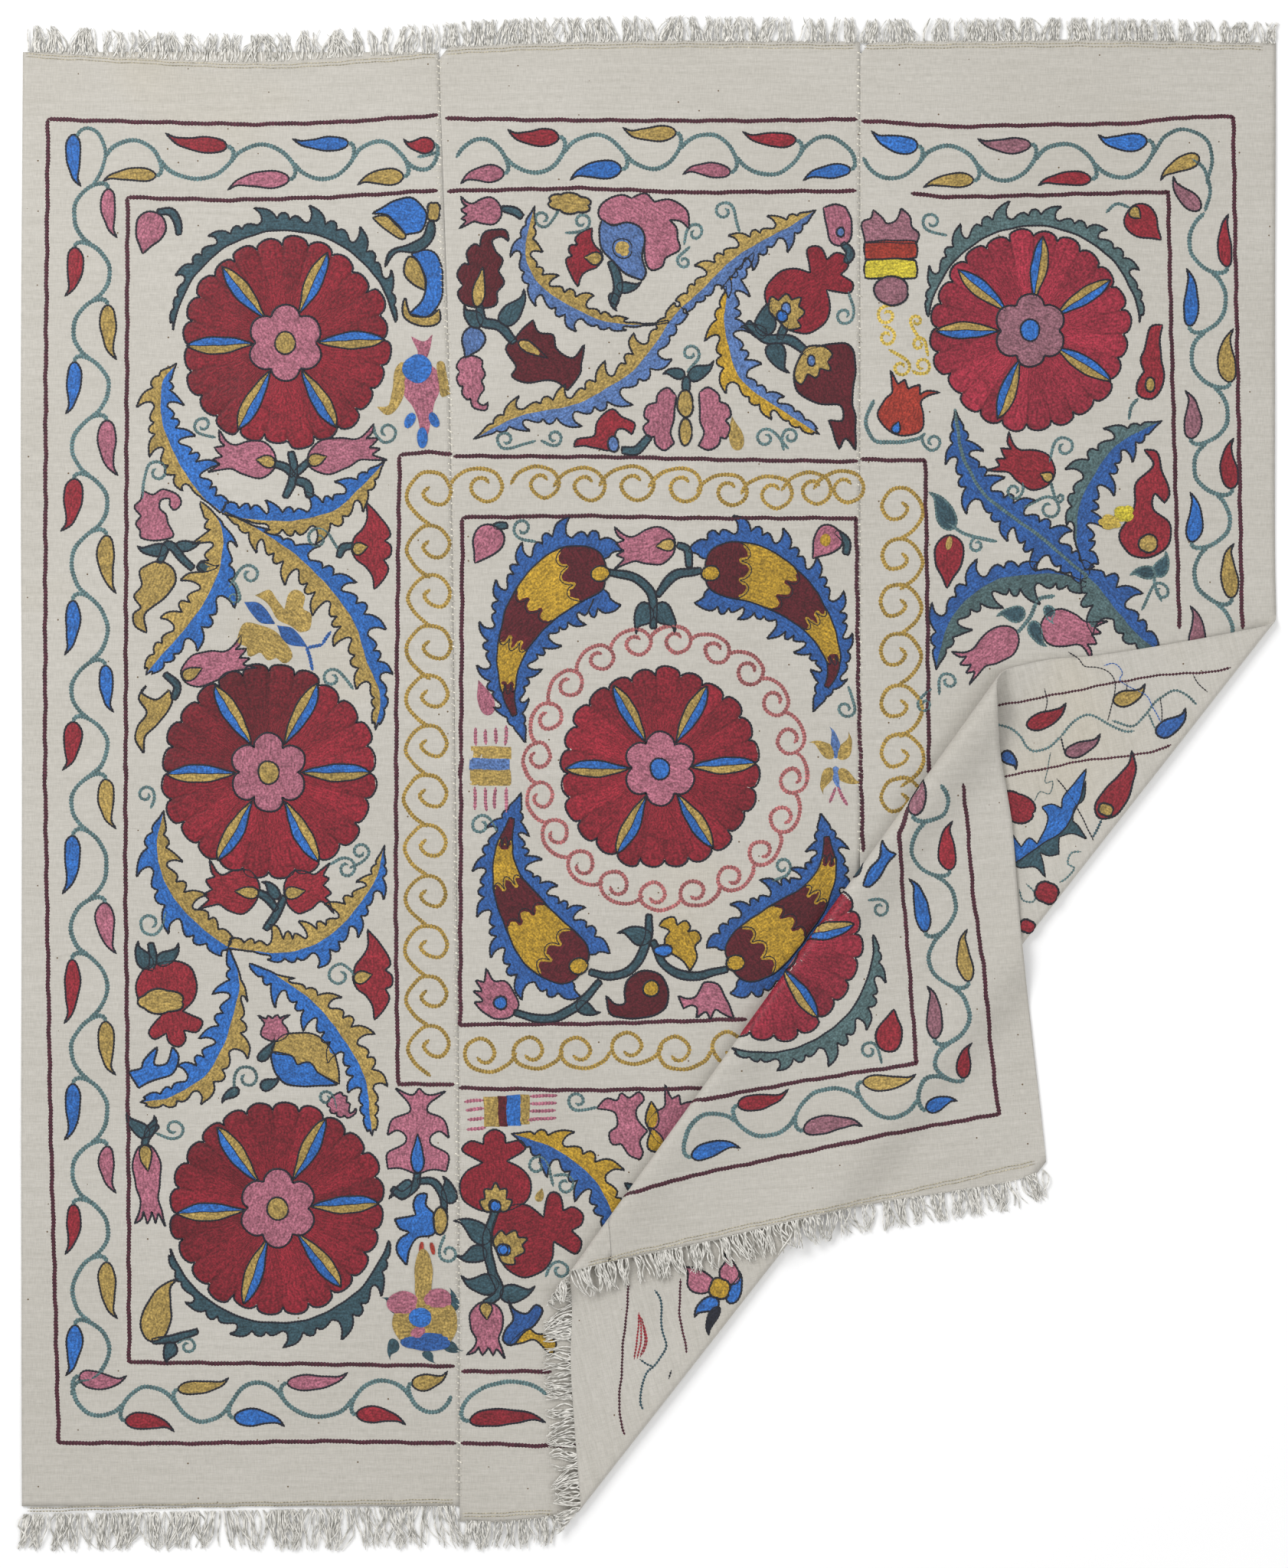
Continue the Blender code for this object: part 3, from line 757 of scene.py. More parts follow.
# The frames: four rectangles of plum chain stitch, drawn by hand in short runs that miss each
# other a little at the seams, and the hems' and seams' own cream stitches.
FRAME_RUNS = (  # layer, then places in the photo's pixels
    (0, (63, 156), (60, 500), (59, 1008), (66, 1450), (77, 1884), (240, 1885), (420, 1882), (596, 1885)),
    (0, (602, 1884), (700, 1888), (760, 1888)),
    (0, (63, 156), (200, 160), (330, 163), (440, 160), (572, 151)),
    (0, (582, 155), (700, 157), (860, 158), (990, 158), (1120, 156)),
    (0, (1125, 158), (1245, 166), (1323, 164), (1471, 162), (1557, 153), (1610, 153), (1613, 330),
     (1618, 600), (1622, 822)),
    (0, (167, 258), (165, 700), (164, 1150), (168, 1500), (169, 1779), (380, 1781), (594, 1784)),
    (0, (602, 1791), (720, 1791)), (0, (167, 258), (300, 262), (430, 258), (572, 249)),
    (0, (584, 250), (760, 246), (900, 252), (1060, 250), (1118, 250)),
    (0, (1190, 253), (1240, 258), (1330, 256), (1440, 253), (1525, 251), (1531, 500), (1540, 822)),
    (0, (522, 594), (518, 900), (517, 1200), (520, 1416), (594, 1416)),
    (0, (600, 1421), (760, 1424), (932, 1421)), (0, (522, 594), (560, 591), (590, 593)),
    (0, (592, 596), (800, 597), (960, 601), (1120, 603)),
    (0, (1122, 600), (1208, 602), (1211, 800), (1213, 1012)),
    (0, (604, 676), (602, 1000), (601, 1338), (780, 1337), (975, 1331)),
    (0, (604, 676), (760, 674), (900, 677), (1118, 677), (1121, 900), (1127, 1112)),
    (2, (1256, 1024), (1262, 1070), (1270, 1170), (1283, 1260), (1294, 1370), (1304, 1455), (1150, 1482),
     (1030, 1508), (900, 1535), (812, 1560)),
    (2, (1186, 1052), (1173, 1088), (1177, 1150), (1185, 1240), (1196, 1388), (1050, 1411), (900, 1438)),
)
HEMS = (  # layer, then places along the roots of a fringe
    (0, (34, 66), (320, 80), (480, 73), (568, 66)), (0, (582, 62), (705, 56), (890, 53), (1116, 55)),
    (0, (1128, 55), (1430, 52), (1648, 56)), (0, (36, 1979), (300, 1972), (592, 1967)),
    (0, (604, 1986), (665, 1984), (722, 1981)), (2, (768, 1656), (1000, 1602), (1200, 1560), (1350, 1525)),
)
SEAMS = (
    ((573, 70), (575, 300), (587, 512), (592, 900), (597, 1420), (599, 1700), (599, 1960)),
    ((1121, 62), (1122, 300), (1122, 600), (1123, 900), (1123, 1120)),
)
FRAME_LINE, HEM_LINE, SEAM_LINE = 6.2, 1.7, 2.0  # pixels
HEM_ROWS = (5.0, 9.0)  # pixels in from the fringe
border = Work("border")
flap = Work("flap", 2)
cloths = {0: border, 2: flap}
for layer, *knots in FRAME_RUNS:
    stroke(cloths[layer], knots, FRAME_LINE, "plum")
for layer, *places in HEMS:
    for more in HEM_ROWS:
        moved = np.array(places, float) + [0.0, more if places[0][1] < 900 else -more]
        stroke(cloths[layer], smooth(moved, 12), HEM_LINE, "stitch", loops=(0.3, 1.2))
for places in SEAMS:
    path, _ = evenly(smooth(places, 12), 8.5)
    for x, y in path[1:-1]:
        slant = chance.uniform(0.5, 3.0)
        ends = [(x - 3.6, y - slant), (x + 3.6, y + slant)]
        stroke(border, ends, SEAM_LINE, "cream", loops=(0.9, 1.1))

# The vine borders: a grey-green stem that swings from side to side, with a leaf on a short hook
# in every bend. Each is walked anticlockwise, which keeps the outside on the right.
VINE_LINE, CORNER_LINE, VINE_LEAF = 6.4, 5.4, 20.0  # pixels
VINE_DEPTH, VINE_RUN = 0.30, 76.0  # depth of a bend of this length, as a share of it
BEND = ((0.05, -1.0), (-0.03, -0.82), (-0.05, -0.5), (0.0, 0.0), (0.16, 0.62), (0.38, 1.0),
        (0.64, 0.95), (0.86, 0.55), (0.99, 0.0))  # share of its run, depths outwards
VINES = (  # layer, then each node: x, y, side of the next bend (1 outside), dye of its leaf
    (0, (1583, 858, 1, "mauve"), (1588, 787, -1, "gold"), (1577, 714, 1, "blue"), (1588, 645, -1, "red"),
     (1576, 578, 1, "mauve"), (1584, 505, -1, "gold"), (1574, 432, 1, "blue"), (1581, 355, -1, "red"),
     (1572, 278, 0, "")),
    (0, (1503, 205, -1, "blue"), (1428, 213, 1, "red"), (1350, 210, -1, "mauve"), (1275, 215, 1, "gold"),
     (1200, 213, -1, "blue"), (1126, 206, 0, "")),
    (0, (1112, 200, 1, "blue"), (1043, 205, -1, "red"), (960, 204, 1, "pink"), (887, 195, -1, "gold"),
     (815, 200, 1, "blue"), (735, 200, -1, "red"), (660, 205, 1, "pink"), (595, 206, 0, "")),
    (0, (571, 203, -1, "red"), (530, 210, 1, "gold"), (460, 208, -1, "blue"), (382, 213, 1, "pink"),
     (300, 213, -1, "red"), (208, 208, 1, "gold"), (137, 205, 0, "")),
    (0, (120, 243, 1, "pink"), (120, 320, -1, "red"), (120, 395, 1, "gold"), (119, 470, -1, "blue"),
     (118, 546, 1, "pink"), (118, 623, -1, "red"), (117, 696, 1, "gold"), (117, 780, -1, "blue"),
     (117, 866, 1, "blue"), (117, 939, -1, "red"), (117, 1014, 1, "gold"), (117, 1087, -1, "blue"),
     (116, 1176, 1, "pink"), (116, 1249, -1, "red"), (117, 1331, 1, "gold"), (117, 1412, -1, "blue"),
     (118, 1494, 1, "pink"), (118, 1570, -1, "red"), (118, 1645, 1, "gold"), (119, 1727, -1, "blue"),
     (119, 1802, 0, "")),
    (0, (96, 1818, 1, "pink"), (162, 1833, -1, "red"), (232, 1836, 1, "gold"), (303, 1830, -1, "blue"),
     (372, 1828, 1, "pink"), (463, 1826, -1, "red"), (537, 1826, 1, "gold"), (590, 1822, 0, "")),
    (0, (606, 1834, -1, "red"), (716, 1822, 0, "")),
    (2, (893, 1490, -1, "blue"), (962, 1464, 1, "red"), (1040, 1455, -1, "mauve"), (1123, 1434, 1, "gold"),
     (1199, 1436, -1, "blue"), (1240, 1410, 0, "")),
    (2, (1240, 1410, -1, "red"), (1240, 1360, 1, "mauve"), (1243, 1288, -1, "gold"),
     (1229, 1217, 1, "blue"), (1219, 1143, -1, "red"), (1207, 1073, 1, "mauve"), (1226, 1024, 0, "")),
)


def vine(work, nodes):
    """Bends between nodes: each starts at its leaf, goes round a hook and ends on the next one."""
    for (x_0, y_0, side, dye), (x_1, y_1, *_) in zip(nodes, nodes[1:]):
        start, run = np.array([x_0, y_0], float), np.array([x_1 - x_0, y_1 - y_0], float)
        right = np.array([-run[1], run[0]]) * side
        share = VINE_DEPTH * VINE_RUN / max(np.linalg.norm(run), 60.0)
        bend = [start + run * t + right * share * w for t, w in BEND]
        tip = start + (0.93 + 0.05 * chance.standard_normal()) * run - right * share * 0.85
        stroke(work, smooth(bend, 5), VINE_LINE, "vine")
        leaf(work, *bend[0], *tip, (VINE_LEAF + 2.0 * chance.standard_normal()) * side, dye)


for layer, *nodes in VINES:
    vine(cloths[layer], nodes)
CORNER_STEMS = (  # places along a stem that turns a corner
    ((100, 180), (106, 170), (116, 167), (128, 175), (138, 196), (134, 220), (120, 243)),
    ((119, 1802), (100, 1806), (93, 1822)), ((1573, 277), (1580, 252), (1572, 222), (1556, 208)),
    ((1575, 240), (1583, 205), (1572, 180), (1545, 169), (1520, 180), (1503, 205)),
    ((545, 206), (571, 200)),
)
CORNER_LEAVES = (  # base, tip, width, dye
    (98, 176, 92, 243, 19, "blue"), (1568, 272, 1524, 243, -21, "mauve"),
    (1566, 208, 1512, 222, 20, "gold"),
)
for knots in CORNER_STEMS:
    stroke(border, smooth(knots, 5), CORNER_LINE, "vine")
for values in CORNER_LEAVES:
    leaf(border, *values)

# The rosettes: round flowers of twenty-four lobes in crimson silk, cut by six lens-shaped slits of
# blue and gold, with a pink flower and an eye in the middle.
LOBES, SLITS = 24, 6
SLIT_RISE, PETAL_RISE, EYE_RISE = 0.00055, 0.00095, 0.0014  # metres
ROSETTES = (  # region, middle, radius, three dyes (lobes, flower, eye), slits in degrees, dark parts
    ("left", 373, 448, 136, "crimson", "pink", "gold", (2, 65, 130, 182, 241, 301), ()),
    ("left", 351, 1009, 140, "crimson", "pink", "gold", (0, 61, 122, 181, 240, 299), (1, 2)),
    ("left", 363, 1578, 139, "crimson", "pink", "gold", (3, 62, 127, 183, 250, 309), ()),
    ("centre", 862, 1004, 131, "crimson", "pink", "blue", (3, 60, 119, 180, 243, 304), ()),
    ("right", 1345, 432, 130, "rose", "mauve", "blue", (-32, 32, 82, 140, 180, 250), ()),
    ("flap", 998, 1232, 126, "rose", "mauve", "gold", (-54, 12, 75, 130, 185, 245), ()),
)


def lens(work, x, y, angle, near, far, width, one, two, base):
    """A slit of a rosette: a lens along a radius, half in one dye and half in another."""
    ahead = np.array([math.cos(angle), -math.sin(angle)])
    side = np.array([-ahead[1], ahead[0]])
    t = np.linspace(0.0, 1.0, 14)
    axis = np.array([x, y]) + ahead * (near + (far - near) * t)[:, None]
    bulge = side * (np.sin(math.pi * t**1.25) ** 0.75 * width / 2)[:, None]
    for sign, dye in ((1, one), (-1, two)):
        half = np.vstack([axis, (axis + bulge * sign)[::-1]])
        fill(work, half, dye, base, 4.0, angle=math.atan2(-ahead[1], ahead[0]))
    stroke(work, np.vstack([axis + bulge, (axis - bulge)[::-1]]), INNER_OUTLINE, "navy", base + ABOVE)
    stroke(work, axis, 1.6, "navy", base)


def rosette(work, x, y, radius, dye, flower, eye, slits, dark):
    """A polar patch whose rim is scalloped, with grooves between its lobes that also carry painted shade,
    slits and flower.
    """
    columns, rings = LOBES * 12, 15
    angle = np.arange(columns + 1) / columns * 2.0 * math.pi
    phase = (angle / (2.0 * math.pi) * LOBES) % 1.0
    scallop = np.sqrt(np.maximum(0.0, 1.0 - (2.0 * phase - 1.0) ** 2))
    lobe = np.floor(angle / (2.0 * math.pi) * LOBES).astype(int) % LOBES
    size = chance.normal(1.0, 0.014, LOBES)[lobe]
    rim = radius * size * (0.925 + 0.075 * scallop)
    share = np.linspace(0.0, 1.0, rings)[:, None]
    near = radius * 0.25
    away = near + (rim - near) * share
    start = math.radians(slits[0])
    xy = round_path(x, y, away, away, angle + start)
    groove = (1.0 - scallop) ** 2 * np.clip((share - 0.45) * 2.0, 0.0, 1.0)
    rise = SUNK + (FILL_RISE * 1.25 - SUNK) * np.minimum(1.0, (rim - away) / 7.0) ** 0.6
    rise = rise * (1.0 - 0.7 * groove)
    part = lobe * SLITS // LOBES
    tone = chance.normal(1.0, 0.12, LOBES)[lobe] * chance.normal(1.0, 0.10, SLITS)[part]
    tone = tone * np.where(np.isin(part, dark), 0.62, 1.0)
    # Painted shade: the colour darkens by up to 0.45 in the grooves between the lobes, where the silk dips;
    # the rest of the tone is each lobe's and part's own dye.
    shade = (tone * (1.0 - 0.45 * groove))[..., None]
    colours = np.array(linear(*DYES[dye])) * shade * (1.0 - 0.1 * share[..., None])
    uv = np.stack([np.broadcast_to(angle * radius * 0.7, away.shape), away], -1) * PIXEL
    work.add("silk", xy.reshape(-1, 2), rise.ravel(), colours.reshape(-1, 3), uv.reshape(-1, 2),
             grid_faces(rings, columns + 1))
    stroke(work, xy[-1], 3.2, "navy")
    for slit, at in enumerate(slits):
        at = math.radians(at)
        one, two = ("gold", "blue") if slit % 2 == 0 else ("blue", "gold")
        lens(work, x, y, at, radius * 0.30, radius * 0.95, radius * 0.165, one, two, SLIT_RISE)
    turn_at = np.linspace(0.0, 2.0 * math.pi, 97) + start
    petal = radius * 0.365 * (0.72 + 0.28 * np.abs(np.sin(turn_at * 3.0)) ** 0.6)
    motif(work, round_path(x, y, petal, petal, turn_at), flower, PETAL_RISE)
    disc = radius * 0.095
    motif(work, round_path(x, y, disc, disc * 1.12, turn_at), eye, EYE_RISE)


left, middle, right, centre = Work("left"), Work("middle"), Work("right"), Work("centre")
regions = {"left": left, "middle": middle, "right": right, "centre": centre, "flap": flap}
for region, *values in ROSETTES:
    rosette(regions[region], *values)

# The scroll bands: running spirals in one row of gold thread round the centre, and a ring of the
# same in pink round its rosette.
FLAT_SCROLL = (
    (-47, -3), (-38, 10), (-22, 19), (-5, 21), (12, 15), (20, 0), (15, -14), (0, -21), (-14, -14),
    (-19, -2), (-12, 8), (-2, 9), (4, 3),
)
DEEP_SCROLL = (
    (-45, 8), (-33, 24), (-20, 34), (-7, 38), (8, 32), (22, 16), (19, -6), (0, -17), (-17, -8), (-16, 8),
    (-5, 17), (4, 9),
)
SCROLL_LINE = 5.8  # pixels
RING_MIDDLE, RING_RADIUS, RING_UNITS, RING_SIZE = (869.0, 1003.0), 168.0, 20, 0.82
SCROLLS = (  # kind, direction it runs, side it bulges to, then the middle of each spiral
    (FLAT_SCROLL, 1, 0, 0, -1, (635, 634), (711, 630), (770, 633), (832, 632), (895, 634), (956, 640),
     (1014, 643), (1066, 638), (1108, 636)),
    (DEEP_SCROLL, 0, -1, -1, 0, (571, 640), (570, 710), (571, 774), (571, 841), (568, 905), (567, 970),
     (566, 1035), (566, 1100), (566, 1166), (567, 1232), (567, 1297), (570, 1362)),
    (DEEP_SCROLL, 0, -1, 1, 0, (1168, 660), (1168, 726), (1166, 786), (1166, 850), (1167, 918), (1168, 982),
     (1168, 1040)),
    (FLAT_SCROLL, -1, 0, 0, 1, (627, 1378), (690, 1375), (752, 1375), (819, 1369), (881, 1375),
     (951, 1369)),
)


def scroll(work, knots, x, y, ahead, out, size, dye):
    """One spiral: its own knots along and outwards of the band, put on the chart."""
    ahead, out = np.asarray(ahead, float), np.asarray(out, float)
    size = size * chance.normal(1.0, 0.03)
    path = [np.array([x, y]) + size * (u * ahead + v * out) for u, v in knots]
    stroke(work, smooth(path, 5), SCROLL_LINE, dye)


for knots, along_x, along_y, out_x, out_y, *places in SCROLLS:
    for x, y in places:
        scroll(centre, knots, x, y, (along_x, along_y), (out_x, out_y), 1.0, "scroll")
for unit in range(RING_UNITS):
    angle = 2.0 * math.pi * unit / RING_UNITS + 0.1
    out = np.array([math.cos(angle), math.sin(angle)])
    x, y = np.array(RING_MIDDLE) + RING_RADIUS * out
    scroll(centre, FLAT_SCROLL, x, y, (-out[1], out[0]), out, RING_SIZE, "ring")

# The acanthus leaves: long two-coloured leaves with hooked and rounded teeth on both sides, which
# cross each other between the rosettes, and teal ones bent round a rosette.
TOOTH = (  # share of its step, height in depths (a third value marks a point)
    (0.0, 0.36), (0.05, 0.50), (0.04, 0.84), (-0.05, 1.16, 1), (0.14, 1.02), (0.27, 0.80), (0.35, 0.48, 1),
    (0.44, 0.74), (0.55, 0.72), (0.61, 0.42, 1), (0.70, 0.62), (0.82, 0.54), (0.93, 0.36),
)
ACANTHUS = (  # region, two dyes and depths (left and right of its run), lean of its teeth, places
    ("left", "blue", "gold", -34, 36, -1, (262, 655), (284, 678), (292, 708), (286, 745), (270, 782),
     (242, 822), (214, 852), (190, 882)),
    ("left", "blue", "gold", -33, 33, -1, (294, 668), (342, 695), (380, 720), (416, 752), (446, 787),
     (466, 822), (480, 866), (497, 912), (490, 954)),
    ("left", "gold", "blue", -33, 35, 1, (290, 669), (262, 645), (230, 597), (211, 545), (213, 500),
     (231, 474)),
    ("left", "blue", "gold", 33, -30, 1, (290, 669), (330, 679), (379, 680), (416, 674), (446, 660),
     (476, 632), (503, 602)),
    ("left", "gold", "blue", -30, 33, -1, (299, 1238), (311, 1269), (311, 1300), (300, 1342), (285, 1380),
     (262, 1410), (223, 1432), (183, 1440)),
    ("left", "gold", "blue", -33, 30, -1, (326, 1258), (365, 1277), (403, 1303), (438, 1342), (464, 1380),
     (479, 1420), (486, 1484)),
    ("left", "blue", "gold", 32, 32, 1, (298, 1237), (264, 1212), (236, 1185), (214, 1148), (205, 1108),
     (214, 1058)),
    ("left", "gold", "blue", 33, -28, 1, (298, 1237), (350, 1244), (395, 1240), (434, 1219), (466, 1186),
     (492, 1145), (502, 1104)),
    ("middle", "gold", "periwinkle", 27, 27, 1, (890, 402), (920, 376), (964, 333), (1007, 309),
     (1066, 275)),
    ("middle", "periwinkle", "gold", 27, 28, 1, (890, 402), (873, 422), (836, 475), (793, 507), (742, 531),
     (680, 543), (618, 574)),
    ("middle", "periwinkle", "bright_gold", 28, -27, -1, (984, 329), (956, 365), (946, 409), (951, 453),
     (964, 489), (989, 515), (1029, 541), (1070, 568)),
    ("middle", "periwinkle", "gold", -27, -28, 1, (874, 420), (829, 425), (778, 416), (742, 398),
     (705, 373), (688, 340), (688, 308), (699, 269)),
    ("middle", "deep_blue", "bright_gold", 36, 33, 1, (806, 1606), (796, 1576), (779, 1544), (753, 1519),
     (715, 1496), (667, 1480)),
    ("right", "sage", "deep_blue", -30, 34, 1, (1418, 743), (1406, 708), (1408, 670), (1418, 639),
     (1441, 601), (1468, 574), (1518, 550)),
    ("right", "sage", "deep_blue", 30, -33, 1, (1418, 762), (1387, 751), (1349, 750), (1310, 755),
     (1280, 770), (1253, 793), (1234, 824), (1222, 876)),
    ("right", "deep_blue", "deep_blue", 32, 33, 1, (1420, 752), (1387, 726), (1356, 699), (1318, 672),
     (1287, 647), (1264, 612), (1253, 578), (1247, 534)),
    ("right", "deep_blue", "sage", 34, 33, -1, (1412, 744), (1440, 774), (1460, 800), (1484, 828),
     (1512, 850)),
)
ARCHES = (  # region, dye, rosette's middle, radius, from and to in degrees, hooks' depth and step
    ("left", "teal", 372, 447, 146, 10, 174, 29, 60), ("left", "teal", 363, 1578, 150, 344, 200, 31, 62),
    ("right", "sage", 1350, 434, 139, 172, 5, 27, 56), ("flap", "sage", 998, 1232, 142, 5, -108, 28, 56),
)


def teeth(spine, depth, side, period=62.0, least=0.78, lean=1):
    """The toothed side of a leaf: teeth at an even step along its spine, lower towards its tip."""
    path, at = evenly(spine, 1.5)
    out = sides(path)[1] * side
    count = max(2, round(at[-1] / period))
    size = 1.0 + 0.10 * chance.standard_normal(count)
    tooth = TOOTH if lean > 0 else [(1.0 - t, *more) for t, *more in TOOTH[::-1]]
    knots = [((k + t) / count, w * size[k], *more) for k in range(count) for t, w, *more in tooth]
    share = np.clip([knot[0] for knot in knots], 0.0, 1.0) * 0.98
    width = depth * np.array([knot[1] for knot in knots])
    width = width * np.clip(least + 3.0 * share, 0.05, 1.0) * (1.0 - share**4) ** 0.8
    run = share * at[-1]
    spots = np.stack([np.interp(run, at, path[:, k]) + width * np.interp(run, at, out[:, k])
                      for k in (0, 1)], 1)
    spots = np.vstack([path[:1], spots, path[-1:]])
    sharp = [0] + [k + 1 for k, knot in enumerate(knots) if len(knot) > 2] + [len(spots) - 1]
    runs = [smooth(spots[a:b + 1], 3)[:-1] for a, b in zip(sharp, sharp[1:])]
    return np.vstack(runs + [spots[-1:]])


def acanthus(work, dye_left, dye_right, left_depth, right_depth, lean, spine):
    """A leaf of two dyes that meet along its spine, with one outline round both."""
    spine = smooth(spine, 8)
    for dye, depth, side in ((dye_left, left_depth, -1), (dye_right, right_depth, 1)):
        toothed = teeth(spine, abs(depth), side, least=0.35 if depth > 0 else -0.3, lean=lean)
        fill(work, np.vstack([toothed, spine[::-1]]), dye)
        stroke(work, toothed, OUTLINE, "navy")
    if dye_left == dye_right:
        stroke(work, spine, 5.0, "sage", 0.0003)


def arch(work, dye, x, y, radius, start, end, depth, period):
    """A teal leaf bent round a rosette: its inner side is an arc, its outer side is hooked."""
    angle = np.radians(np.linspace(start, end, 60))
    inner = round_path(x, y, radius, radius, angle)
    far = radius + 2.0 * np.sin(np.linspace(0.12, math.pi, 60)) ** 0.6
    outer = round_path(x, y, far, far, angle)
    toothed = teeth(outer, depth, 1 if end > start else -1, period, 0.2, -1)
    motif(work, np.vstack([inner, toothed[::-1]]), dye)


for region, dye_left, dye_right, left_depth, right_depth, lean, *spine in ACANTHUS:
    acanthus(regions[region], dye_left, dye_right, left_depth, right_depth, lean, spine)
for region, *values in ARCHES:
    arch(regions[region], *values)

# The paisleys: four bent drops at the corners of the centre, each with a blue toothed rim, bands
# of maroon and gold with scalloped ends, and a gold eye at the head.
PAISLEYS = (  # places from the head to the tip
    ((792, 750), (744, 752), (696, 792), (668, 850), (664, 905), (686, 970)),
    ((920, 750), (972, 746), (1030, 775), (1072, 822), (1088, 872), (1062, 930)),
    ((762, 1266), (716, 1236), (684, 1192), (662, 1148), (660, 1100), (680, 1036)),
    ((953, 1261), (990, 1240), (1030, 1204), (1064, 1170), (1082, 1124), (1072, 1062)),
)
BANDS = (  # how far along the drop each reaches, dye
    (1.0, "maroon"), (0.82, "bright_gold"), (0.60, "maroon"), (0.40, "bright_gold"), (0.17, "maroon"),
)
PAISLEY_HALF, PAISLEY_EYE, RIM_DEPTH, RIM_PERIOD = 43.0, 10.0, 27.0, 50.0  # pixels
BAND_RISE, DROP_RISE = 0.0004, 0.0012  # metres


def paisley(work, *knots):
    """A drop along a bent spine, widest a quarter of the way along and thin towards its tip."""
    path, at = evenly(smooth(knots, 8), 2.0)
    share = at / at[-1]
    ahead, side = sides(path)
    half = PAISLEY_HALF * np.sin(math.pi * np.sqrt(share)) ** 0.8 * (1.0 - share) ** 0.6

    def within(end):
        upto = share <= end * 0.88
        line, out = path[upto], side[upto] * half[upto, None]
        if end == 1.0:
            return np.vstack([line - out, (line + out)[::-1], (line - out)[:1]])
        t = np.linspace(-1.0, 1.0, 37)[1:-1]
        bulge = 14.0 * (np.abs(np.cos(t * 1.5 * math.pi)) ** 0.5 + 0.5 * (1.0 - t * t)) - 3.0
        cap = line[-1] + t[:, None] * out[-1] + ahead[upto][-1] * bulge[:, None]
        return np.vstack([line - out, cap, (line + out)[::-1], (line - out)[:1]])

    edges = []
    for sign in (-1, 1):
        rim = path + side * sign * (half + 1.0)[:, None]
        edges.append(teeth(np.vstack([rim[2:-1], path[-1:]]), RIM_DEPTH, sign, RIM_PERIOD, 0.8))
    motif(work, np.vstack([edges[0], edges[1][::-1], edges[0][:1]]), "deep_blue")
    for step, (end, dye) in enumerate(BANDS):
        motif(work, within(end), dye, BAND_RISE + PILE_RISE * step, width=THIN_OUTLINE)
    turn_at = np.linspace(0.0, -2.0 * math.pi, 25)
    eye = round_path(*path[4], PAISLEY_EYE * 1.2, PAISLEY_EYE, turn_at)
    motif(work, eye, "bright_gold", DROP_RISE)


for places in PAISLEYS:
    paisley(centre, *places)

# The flowers and fruits: tulips, lilies, palmettes, pomegranates and buds, on short teal stems.
# Each kind has its own outline, along its axis from 0 to 1 and across it in widths.
EYE_DROP_RISE = 0.0006  # metres
TULIP = (
    (0, 0), (0.06, 0.30), (0.24, 0.52), (0.50, 0.46), (0.70, 0.30), (0.84, 0.36), (1.0, 0.62, 1),
    (0.94, 0.34), (0.84, 0.22, 1), (1.0, 0.12, 1), (0.93, 0.0), (0.85, -0.08, 1), (1.0, -0.22, 1),
    (0.92, -0.28), (0.88, -0.34), (1.05, -0.60, 1), (0.84, -0.46), (0.68, -0.38), (0.50, -0.48),
    (0.24, -0.52), (0.06, -0.30),
)
FAN = (
    (0, 0.03), (0.10, 0.14), (0.30, 0.22), (0.44, 0.34), (0.46, 0.52, 1), (0.74, 0.40), (0.88, 0.28),
    (0.80, 0.17, 1), (0.98, 0.13), (1.0, 0.02), (0.86, -0.05, 1), (1.02, -0.12), (0.92, -0.26),
    (0.76, -0.38), (0.50, -0.54, 1), (0.46, -0.34), (0.30, -0.22), (0.10, -0.14), (0, -0.03),
)
LILY = (
    (0, 0.04), (0.05, 0.24), (0.02, 0.46, 1), (0.22, 0.48), (0.34, 0.22), (0.44, 0.20), (0.50, 0.34),
    (0.42, 0.50, 1), (0.64, 0.40), (0.72, 0.14), (0.84, 0.18), (0.98, 0.42, 1), (0.93, 0.14), (1.0, 0.0, 1),
    (0.92, -0.12), (1.0, -0.40, 1), (0.84, -0.18), (0.72, -0.14), (0.64, -0.40), (0.44, -0.50, 1),
    (0.50, -0.34), (0.44, -0.20), (0.34, -0.22), (0.22, -0.48), (0.04, -0.46, 1), (0.05, -0.24), (0, -0.04),
)
POMEGRANATE = (
    (0, 0), (0.02, 0.26), (0.14, 0.45), (0.34, 0.50), (0.52, 0.40), (0.63, 0.17, 1), (0.70, 0.30),
    (0.80, 0.44), (0.90, 0.36), (0.86, 0.15, 1), (0.98, 0.14), (1.04, 0.0), (0.98, -0.13), (0.86, -0.14, 1),
    (0.91, -0.34), (0.80, -0.46), (0.70, -0.30), (0.63, -0.17, 1), (0.52, -0.40), (0.34, -0.50),
    (0.14, -0.45), (0.02, -0.26),
)
CUP = (
    (0.0, 0), (0.0, 0.22), (0.12, 0.34), (0.15, 0.22, 1), (0.27, 0.22), (0.27, 0.08, 1), (0.36, 0.0),
    (0.27, -0.08, 1), (0.27, -0.22), (0.15, -0.22, 1), (0.12, -0.34), (0.0, -0.22),
)
CARNATION = (
    (0, 0), (0.02, 0.28), (0.14, 0.44), (0.24, 0.36, 1), (0.36, 0.50), (0.50, 0.42), (0.50, 0.30, 1),
    (0.64, 0.40), (0.76, 0.26), (0.74, 0.14, 1), (0.90, 0.10), (0.97, -0.12), (0.98, -0.34),
    (0.86, -0.44, 1), (0.90, -0.26), (0.82, -0.10), (0.70, -0.22, 1), (0.62, -0.38), (0.48, -0.32, 1),
    (0.36, -0.48), (0.22, -0.38, 1), (0.10, -0.42), (0.02, -0.24),
)
